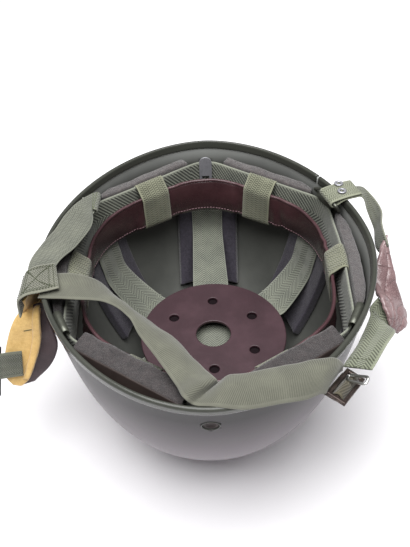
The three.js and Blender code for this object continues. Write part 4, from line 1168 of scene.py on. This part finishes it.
# Cross strap. The chin strap goes from the keeper over the opening, turns on its edge, folds over the front
# rim and lies along it to the slide. It is slack, so it curls and creases.
CROSS_STRAP = [
    ((-113, -51, 4.2), (-104.5, -28, 4.2)),
    ((-97, -53, 4.2), (-88, -29.5, 4.2)),
    ((-76, -56, 5), (-74, -32, -2), 2),
    ((-62, -64, 8), (-63, -44, -5), 4),
    ((-50, -76, 8), (-48, -58, -7), 5),
    ((-43, -90, 7), (-35, -71, -6), 5),
    ((-33, -105, 4), (-19, -86, -6), 4.5),
    ((-18.6, -125.5, 0), (-5.1, -107.4, -6), 3.5),
    ((-13.8, -137.3, 4), (3.5, -121.8, 0.2), 1.2),
    ((-9.8, -139.5, 0.4), (5.5, -120, -4.6)),
    ((3, -142.3, 1.6), (12, -119, 0.6), 3),
    ((20, -144.5, 1.4), (23, -120, 2.5), 4.4),
    ((40, -141, 0.8), (39, -116, 3), 3.6),
    ((55, -138, 0), (56, -113, 3), 4),
    ((64, -132.5, -2), (74, -110.5, 3.6), 4.8),
    ((67.5, -130, -4.5), (81, -109.5, -3), 4),
    ((67.6, -127, -5.2), (82, -107.6, -11.2), 2),
]
cross_finish = webbing("cross_webbing", (72, 73, 63), (109, 109, 97), 0.0125, 0.0011, 0.5, 0.25, 0.35)
cross_grid = strap_grid(CROSS_STRAP, 260, 17, width=25, creases=0.7, seed=3)
strap("cross_webbing", cross_grid, cross_finish, "webbing", "cross_strap")

# Slide and hook. A dark three-bar slide takes the end of the cross strap. A small loop of steel wire hangs
# between the slide and the fold of the cheek strap.
slide_across = unit(np.array((17, 24, -7.0)))
slide_run = np.array((8.3, -3, -2.0))
slide_run = unit(slide_run - slide_across * (slide_run @ slide_across))
slide_up = np.cross(slide_run, slide_across)
slide_at = np.array((82, -121, -10.8))
bronze = finish("bronzed_slide", steel_pattern, {}, [(0.3, (50, 42, 40)), (0.7, (86, 74, 70))],
                (150, 140, 128), (0.28, 0.42), (0.15, 0.0001), Metallic=0.7)
SLIDE_BARS = [(-5.2, 0, 1.3, 15, 1.3), (0, 0, 1.1, 15, 1.3), (5.2, 0, 1.3, 15, 1.3),
              (0, -13.7, 6.5, 1.3, 1.25), (0, 13.7, 6.5, 1.3, 1.25)]


def in_slide(run, across, up):
    return slide_at + run * slide_run + across * slide_across + up * slide_up


bars = []
for x, y, half_x, half_y, half_z in SLIDE_BARS:

    def lay_bar(local):
        return in_slide(local[:, :1] + x, local[:, 1:2] + y, local[:, 2:])

    bars.append(rounded_box("slide_bar", (half_x, half_y, half_z), 0.6, 4, lay_bar))
merged = bmesh.new()
for bar in bars:
    merged.from_mesh(bar.data)
slide_mesh = bpy.data.meshes.new("slide")
merged.to_mesh(slide_mesh)
merged.free()
for bar in bars:
    bpy.data.objects.remove(bar)
slide = link_new("slide_casting", slide_mesh)
dress(slide, bronze, "bronze", "strap_slide")
THREADED = [(-7.5, -2.3), (-5.2, -2.5), (-3.4, -1.6), (-1.9, 1.2), (0, 2.2), (1.9, 1.2), (3.2, -1.4),
            (2, -2.9), (-2, -3.6), (-7.5, -3.8)]
threaded_line = spline([(run, 0, up) for run, up in THREADED], np.linspace(0, 1, 60))
threaded_grid = np.array([[in_slide(run, across, up) for across in np.linspace(-12, 12, 11)]
                          for run, _, up in threaded_line])
# The webbing in the slide's slots is darker than the cross strap it ends, as painted shade between the bars.
shaded_threaded_finish = webbing("slide_webbing", (46, 42, 33), (86, 80, 62), 0.012, 0.0014, 0.5, 0.25, 0.5)
strap("slide_webbing", threaded_grid, shaded_threaded_finish, "webbing", thick=1.1)
HOOK = [(85, -113, -9.9), (95, -120.5, -3), (92.5, -125, -4.5), (83, -117.5, -8.9)]
hook_route = round_corners([(corner, 2) for corner in HOOK], 6)
hook = tube("hook_wire", even_route(hook_route, 0.6, loop=True), 1.0, 12)
dress(hook, bright_steel, "steel", "slide_hook")

# Cheek strap. A short length of herringbone webbing with a row of stitches near each end. It joins the slide
# to the right cheek leather outside the shell.
CHEEK_STRAP = [
    ((118, -45, -14), (126, -57, -21)),
    ((111.8, -52, -16), (119.9, -64, -22)),
    ((109.5, -60, -14), (121, -74, -13)),
    ((97.5, -83.5, -12), (112, -93, -3)),
    ((83.1, -104.7, -11.4), (97.8, -115.3, -2.5)),
]
cheek_finish = webbing("cheek_herringbone", (62, 67, 52), (142, 147, 126), 0.010, 0.0024, 0.0052, 0.9)
cheek_grid = strap_grid(CHEEK_STRAP, 50, 11, width=20, creases=0.3, seed=5)
strap("cheek_webbing", cheek_grid, cheek_finish, "webbing", "cheek_strap")
sewn_across("cheek_strap_stitches", cheek_grid, (0.36, 0.93), 0.1, dark_thread)

# Right cheek leather. A long pointed pad of wrinkled mauve-brown leather, thin at the edge and padded in the
# middle.
CHEEK_LEATHER = [
    ((133, 4, -9), (132, 8, 0)),
    ((134, -14, -15), (120.5, -14, -10)),
    ((136, -34, -24), (117.5, -33, -13)),
    ((138, -51, -30), (117.5, -49, -9)),
    ((129, -64, -27), (121.5, -64, -18.5)),
]


def padded_leaf(name, grid, thin, thick):
    """Leaf that is thin at its edge and full in the middle."""
    count, columns = grid.shape[:2]
    across = np.linspace(-1, 1, columns)[None]
    along_share = np.linspace(-1, 1, count)[:, None]
    full = np.clip((1 - across ** 4) * (1 - along_share ** 6), 0, 1) ** 0.6
    offset = grid_normals(grid) * (thin + (thick - thin) * full)[..., None] / 2
    rings = np.concatenate([grid + offset, (grid - offset)[:, ::-1]], axis=1)
    u = np.concatenate([np.linspace(-1, 1, columns), np.linspace(1, -1, columns)]) * 0.01
    caps = [(c, c + 1, 2 * columns - 2 - c, 2 * columns - 1 - c) for c in range(columns - 1)]
    return ring_piece(name, rings, u, np.linspace(0, 0.08, count), caps)


mauve_leather = leather("mauve_leather", (800, 130, 1.0), (104, 82, 83), (150, 124, 124), (196, 172, 172),
                        (0.22, 0.36), (0.5, 0.0009), Specular_IOR_Level=0.8)
cheek_leaf_grid = strap_grid(CHEEK_LEATHER, 130, 37, creases=1.0, seed=6)
ridges = (1 - np.abs(wobble(cheek_leaf_grid * (1.2, 0.5, 0.8), 1.9, 14, 11))) ** 5
ridges += 0.5 * (1 - np.abs(wobble(cheek_leaf_grid * (0.6, 0.9, 1.1), 1.9, 9, 12))) ** 5
cheek_leaf_grid = cheek_leaf_grid + grid_normals(cheek_leaf_grid) * ridges[..., None] * 1.5
cheek_leaf = padded_leaf("cheek_leather_pad", cheek_leaf_grid, 1.6, 4.2)
dress(cheek_leaf, mauve_leather, "cheek", "cheek_leather_right")

# Loop strap. A narrow strap from the top of the right cheek leather that stands on edge, bends over and
# ends on the tab.
LOOP_STRAP = [
    ((110, 50, 3.4), (111.5, 63.5, 3.2)),
    ((120.3, 49, 4.6), (121.8, 63, 4.4)),
    ((124.5, 41, -5), (128, 52, 4)),
    ((128, 30, -12), (132, 35, 3)),
    ((127, 19, -14), (130, 19, 2)),
    ((127, 8, -15), (129.5, 8, 1)),
    ((130.5, 0, -14), (131.5, 1, -3)),
]
loop_strap_finish = webbing("loop_strap_webbing", (58, 62, 49), (132, 134, 119), 0.008, 0.0018, 0.003, 1.0)
loop_strap_grid = strap_grid(LOOP_STRAP, 60, 11, creases=0.4, seed=7)
strap("loop_strap_webbing", loop_strap_grid, loop_strap_finish, "webbing", "loop_strap")

# Right tab. Doubled webbing folded over the bar of the right bail, held together by two pressed steel
# eyelets.
TAB_SECTION = [(23, 7), (12, 7), (0, 5.5), (-1.8, 4.8), (-2.5, 3), (-1.8, 1.2), (0, 0.5), (9, 4.4), (22, 4.9)]
tab_near, tab_far = np.array(RIGHT_BAR, float)
tab_run = unit(tab_far - tab_near)
tab_out = np.cross(tab_run, (0, 0, 1))
tab_middle = (tab_near + tab_far) / 2 * (1, 1, 0)
tab_stations = [tab_middle + tab_out * out + (0, 0, height) for out, height in TAB_SECTION]
tab_line = spline(tab_stations, np.linspace(0, 1, 60))
tab_grid = np.array([[point + tab_run * shift for shift in np.linspace(-9.5, 9.5, 11)] for point in tab_line])
tab_finish = webbing("tab_webbing", (72, 76, 58), (154, 157, 136), 0.0095, 0.0018, 0.003, 0.8)
strap("tab_webbing", tab_grid, tab_finish, "webbing", "tab_right")
EYELET = [(1.4, 0), (3.4, 0), (3.6, 0.2), (3.4, 0.6), (2.9, 0.95), (2.2, 0.95), (1.6, 0.7), (1.4, 0.3)]
for number, (x, y) in enumerate(((104, 63), (105, 53))):
    eyelet_place = Matrix.Translation(Vector((x, y, RIM_HEIGHT + 8.1)) * 0.001)
    eyelet = lathe(f"eyelet_ring_{number + 1}", EYELET, eyelet_place, 32, ring=True)
    dress(eyelet, nickel, "steel", f"tab_eyelet_{number + 1}")

# Left cheek leaves. An outer leaf of tan suede and an inner one of brown leather hang from the keeper
# outside the shell. The suede is folded over along one edge and has a short slit.
SUEDE_LEFT = [
    ((-126, -45, -4), (-122.8, -23, -6)),
    ((-128.5, -42, -14), (-120.8, -22, -24)),
    ((-136, -46, -23), (-117.8, -44, -18.5)),
    ((-143.3, -52, -40), (-120, -50.5, -39)),
    ((-147, -58, -55), (-125.5, -57, -54)),
    ((-147.5, -61, -66), (-132, -62, -67)),
    ((-144, -62.5, -71.5), (-137.5, -63.5, -72)),
]
LEATHER_LEFT = [
    ((-122.5, -36, -17), (-116.5, -34.5, -16)),
    ((-125, -43.6, -29), (-112.5, -42.6, -29)),
    ((-130, -50.1, -46), (-109.5, -48.1, -46)),
    ((-134, -57, -61), (-116, -53, -61)),
    ((-137, -61.5, -73), (-129, -58, -73)),
]
tan_suede = finish("tan_suede", fibre_pattern, {"fibre": 1300, "lump": 300, "speckle": 0.35},
                   [(0.3, (190, 150, 84)), (0.7, (226, 192, 126))], (244, 222, 174), (1, 0.92), (0.4, 0.0005),
                   Sheen_Weight=0.4)
brown_leather = leather("brown_leather", (800, 110, 0.7), (48, 35, 38), (70, 54, 58), (120, 98, 98),
                        (0.45, 0.58), (0.5, 0.0007))
suede_grid = strap_grid(SUEDE_LEFT, 50, 15, creases=0.7, seed=8)
front_side = -1 if grid_normals(suede_grid)[25, 7][1] > 0 else 1
strap("suede_leaf", suede_grid, tan_suede, "suede", "cheek_suede_left", thick=2.2)
fold_grid = suede_grid[10:42, 11:] + grid_normals(suede_grid)[10:42, 11:] * front_side * 1.9
strap("suede_fold", fold_grid, tan_suede, "suede", thick=1.6)
# The slit is drawn as a row of dark thread beads, painted shade in the cut.
slit_shade_line = on_grid(suede_grid, [(0.42, c) for c in np.linspace(0.5, 0.7, 5)], front_side * 1.1)
sew("suede_slit_shade", [slit_shade_line], dark_thread, "suede", 1.0, 1.8, 0.8)
leaf_grid = strap_grid(LEATHER_LEFT, 50, 15, creases=0.7, seed=9)
strap("brown_leaf", leaf_grid, brown_leather, "leather", "cheek_leather_left", thick=2.0)

# Buckle strap and side buckle. A short strap on the left leaves holds a flat black moulded buckle with one
# slot, which hangs away from the helmet.
BUCKLE_STRAP = [
    ((-134, -63.8, -60.5), (-132.5, -57.3, -42)),
    ((-143, -63.8, -62), (-141, -57.3, -43)),
    ((-152, -62.8, -65), (-149, -55.8, -46)),
]
buckle_grid = strap_grid(BUCKLE_STRAP, 20, 11, creases=0.2, seed=10)
buckle_finish = webbing("buckle_webbing", (46, 49, 40), (106, 108, 94), 0.0095, 0.0018, 0.003, 1.0)
strap("buckle_webbing", buckle_grid, buckle_finish, "webbing", "buckle_strap")
black_plastic = finish("moulded_plastic", paint_pattern, {"rubs": 0.6},
                       [(0.3, (30, 30, 31)), (0.7, (44, 44, 45))], (90, 90, 92), (0.34, 0.5), (0.2, 0.0002))
last_low, last_high = [np.array(edge, float) for edge in BUCKLE_STRAP[-1]]
buckle_across = unit(last_high - last_low)
buckle_run = last_high - np.array(BUCKLE_STRAP[-2][1], float)
buckle_run = unit(buckle_run - buckle_across * (buckle_run @ buckle_across))
buckle_axes = np.column_stack([buckle_run, buckle_across, np.cross(buckle_run, buckle_across)])
buckle_place = Matrix.Translation(Vector((last_low + last_high) / 2 + (0, 0, RIM_HEIGHT)) * 0.001)
buckle_place = buckle_place @ Matrix(buckle_axes.tolist()).to_4x4()
BUCKLE_DROP = -6
buckle_outline = [(1, -20), (8, -22), (20, -17), (27, -9), (27, 9), (20, 17), (8, 22), (1, 20)]
buckle_slot = [(11, -9), (11, 9), (16, 9), (16, -9)]
dropped = [[(x, y + BUCKLE_DROP) for x, y in points] for points in (buckle_outline, buckle_slot)]
buckle = plate("buckle_body", dropped[0], [dropped[1]], 8, 1.2, buckle_place)
dress(buckle, black_plastic, "plastic", "side_buckle")

# The photograph's view: a pale floor under soft studio light, and the camera above the helmet's front.
floor_mesh = bpy.data.meshes.new("floor")
floor_mesh.from_pydata([(-4, -4, 0), (4, -4, 0), (4, 6, 0), (-4, 6, 0)], [], [(0, 1, 2, 3)])
studio_floor = link_new("floor", floor_mesh)
floor_material = bpy.data.materials.new("pale_floor")
floor_material.use_nodes = True
floor_shader = floor_material.node_tree.nodes["Principled BSDF"]
floor_shader.inputs["Base Color"].default_value = (0.94, 0.93, 0.95, 1)
floor_shader.inputs["Roughness"].default_value = 0.7
floor_mesh.materials.append(floor_material)

bpy.context.scene.view_settings.view_transform = "Standard"
world = bpy.data.worlds.new("studio")
bpy.context.scene.world = world
world.use_nodes = True
backdrop = world.node_tree.nodes["Background"]
backdrop.inputs["Color"].default_value = (1, 1, 1, 1)
backdrop.inputs["Strength"].default_value = 0.17
lamp_place, lamp_aim = Vector((-0.05, -0.25, 1.8)), Vector((0, 0, 0.1))
lamp = bpy.data.lights.new("overhead", "AREA")
lamp.size, lamp.energy = 1.7, 67
light = link_new("overhead", lamp)
light.location = lamp_place
light.rotation_euler = (lamp_aim - lamp_place).to_track_quat("-Z", "Y").to_euler()

CAMERA_AT = (0.00435, -0.38296, 0.48103)
yaw, pitch, roll = [math.radians(a) for a in (-0.961, 42.285, -2.352)]
forward = Vector((math.sin(yaw) * math.cos(pitch), math.cos(yaw) * math.cos(pitch), -math.sin(pitch)))
level_right = Vector((math.cos(yaw), -math.sin(yaw), 0))
level_up = level_right.cross(forward)
right = level_right * math.cos(roll) + level_up * math.sin(roll)
upright = right.cross(forward)
camera_data = bpy.data.cameras.new("photograph")
camera_data.lens, camera_data.sensor_width = 45.57, 36
camera = link_new("photograph", camera_data)
camera.matrix_world = Matrix.Translation(CAMERA_AT) @ Matrix([right, upright, -forward]).transposed().to_4x4()
bpy.context.scene.camera = camera
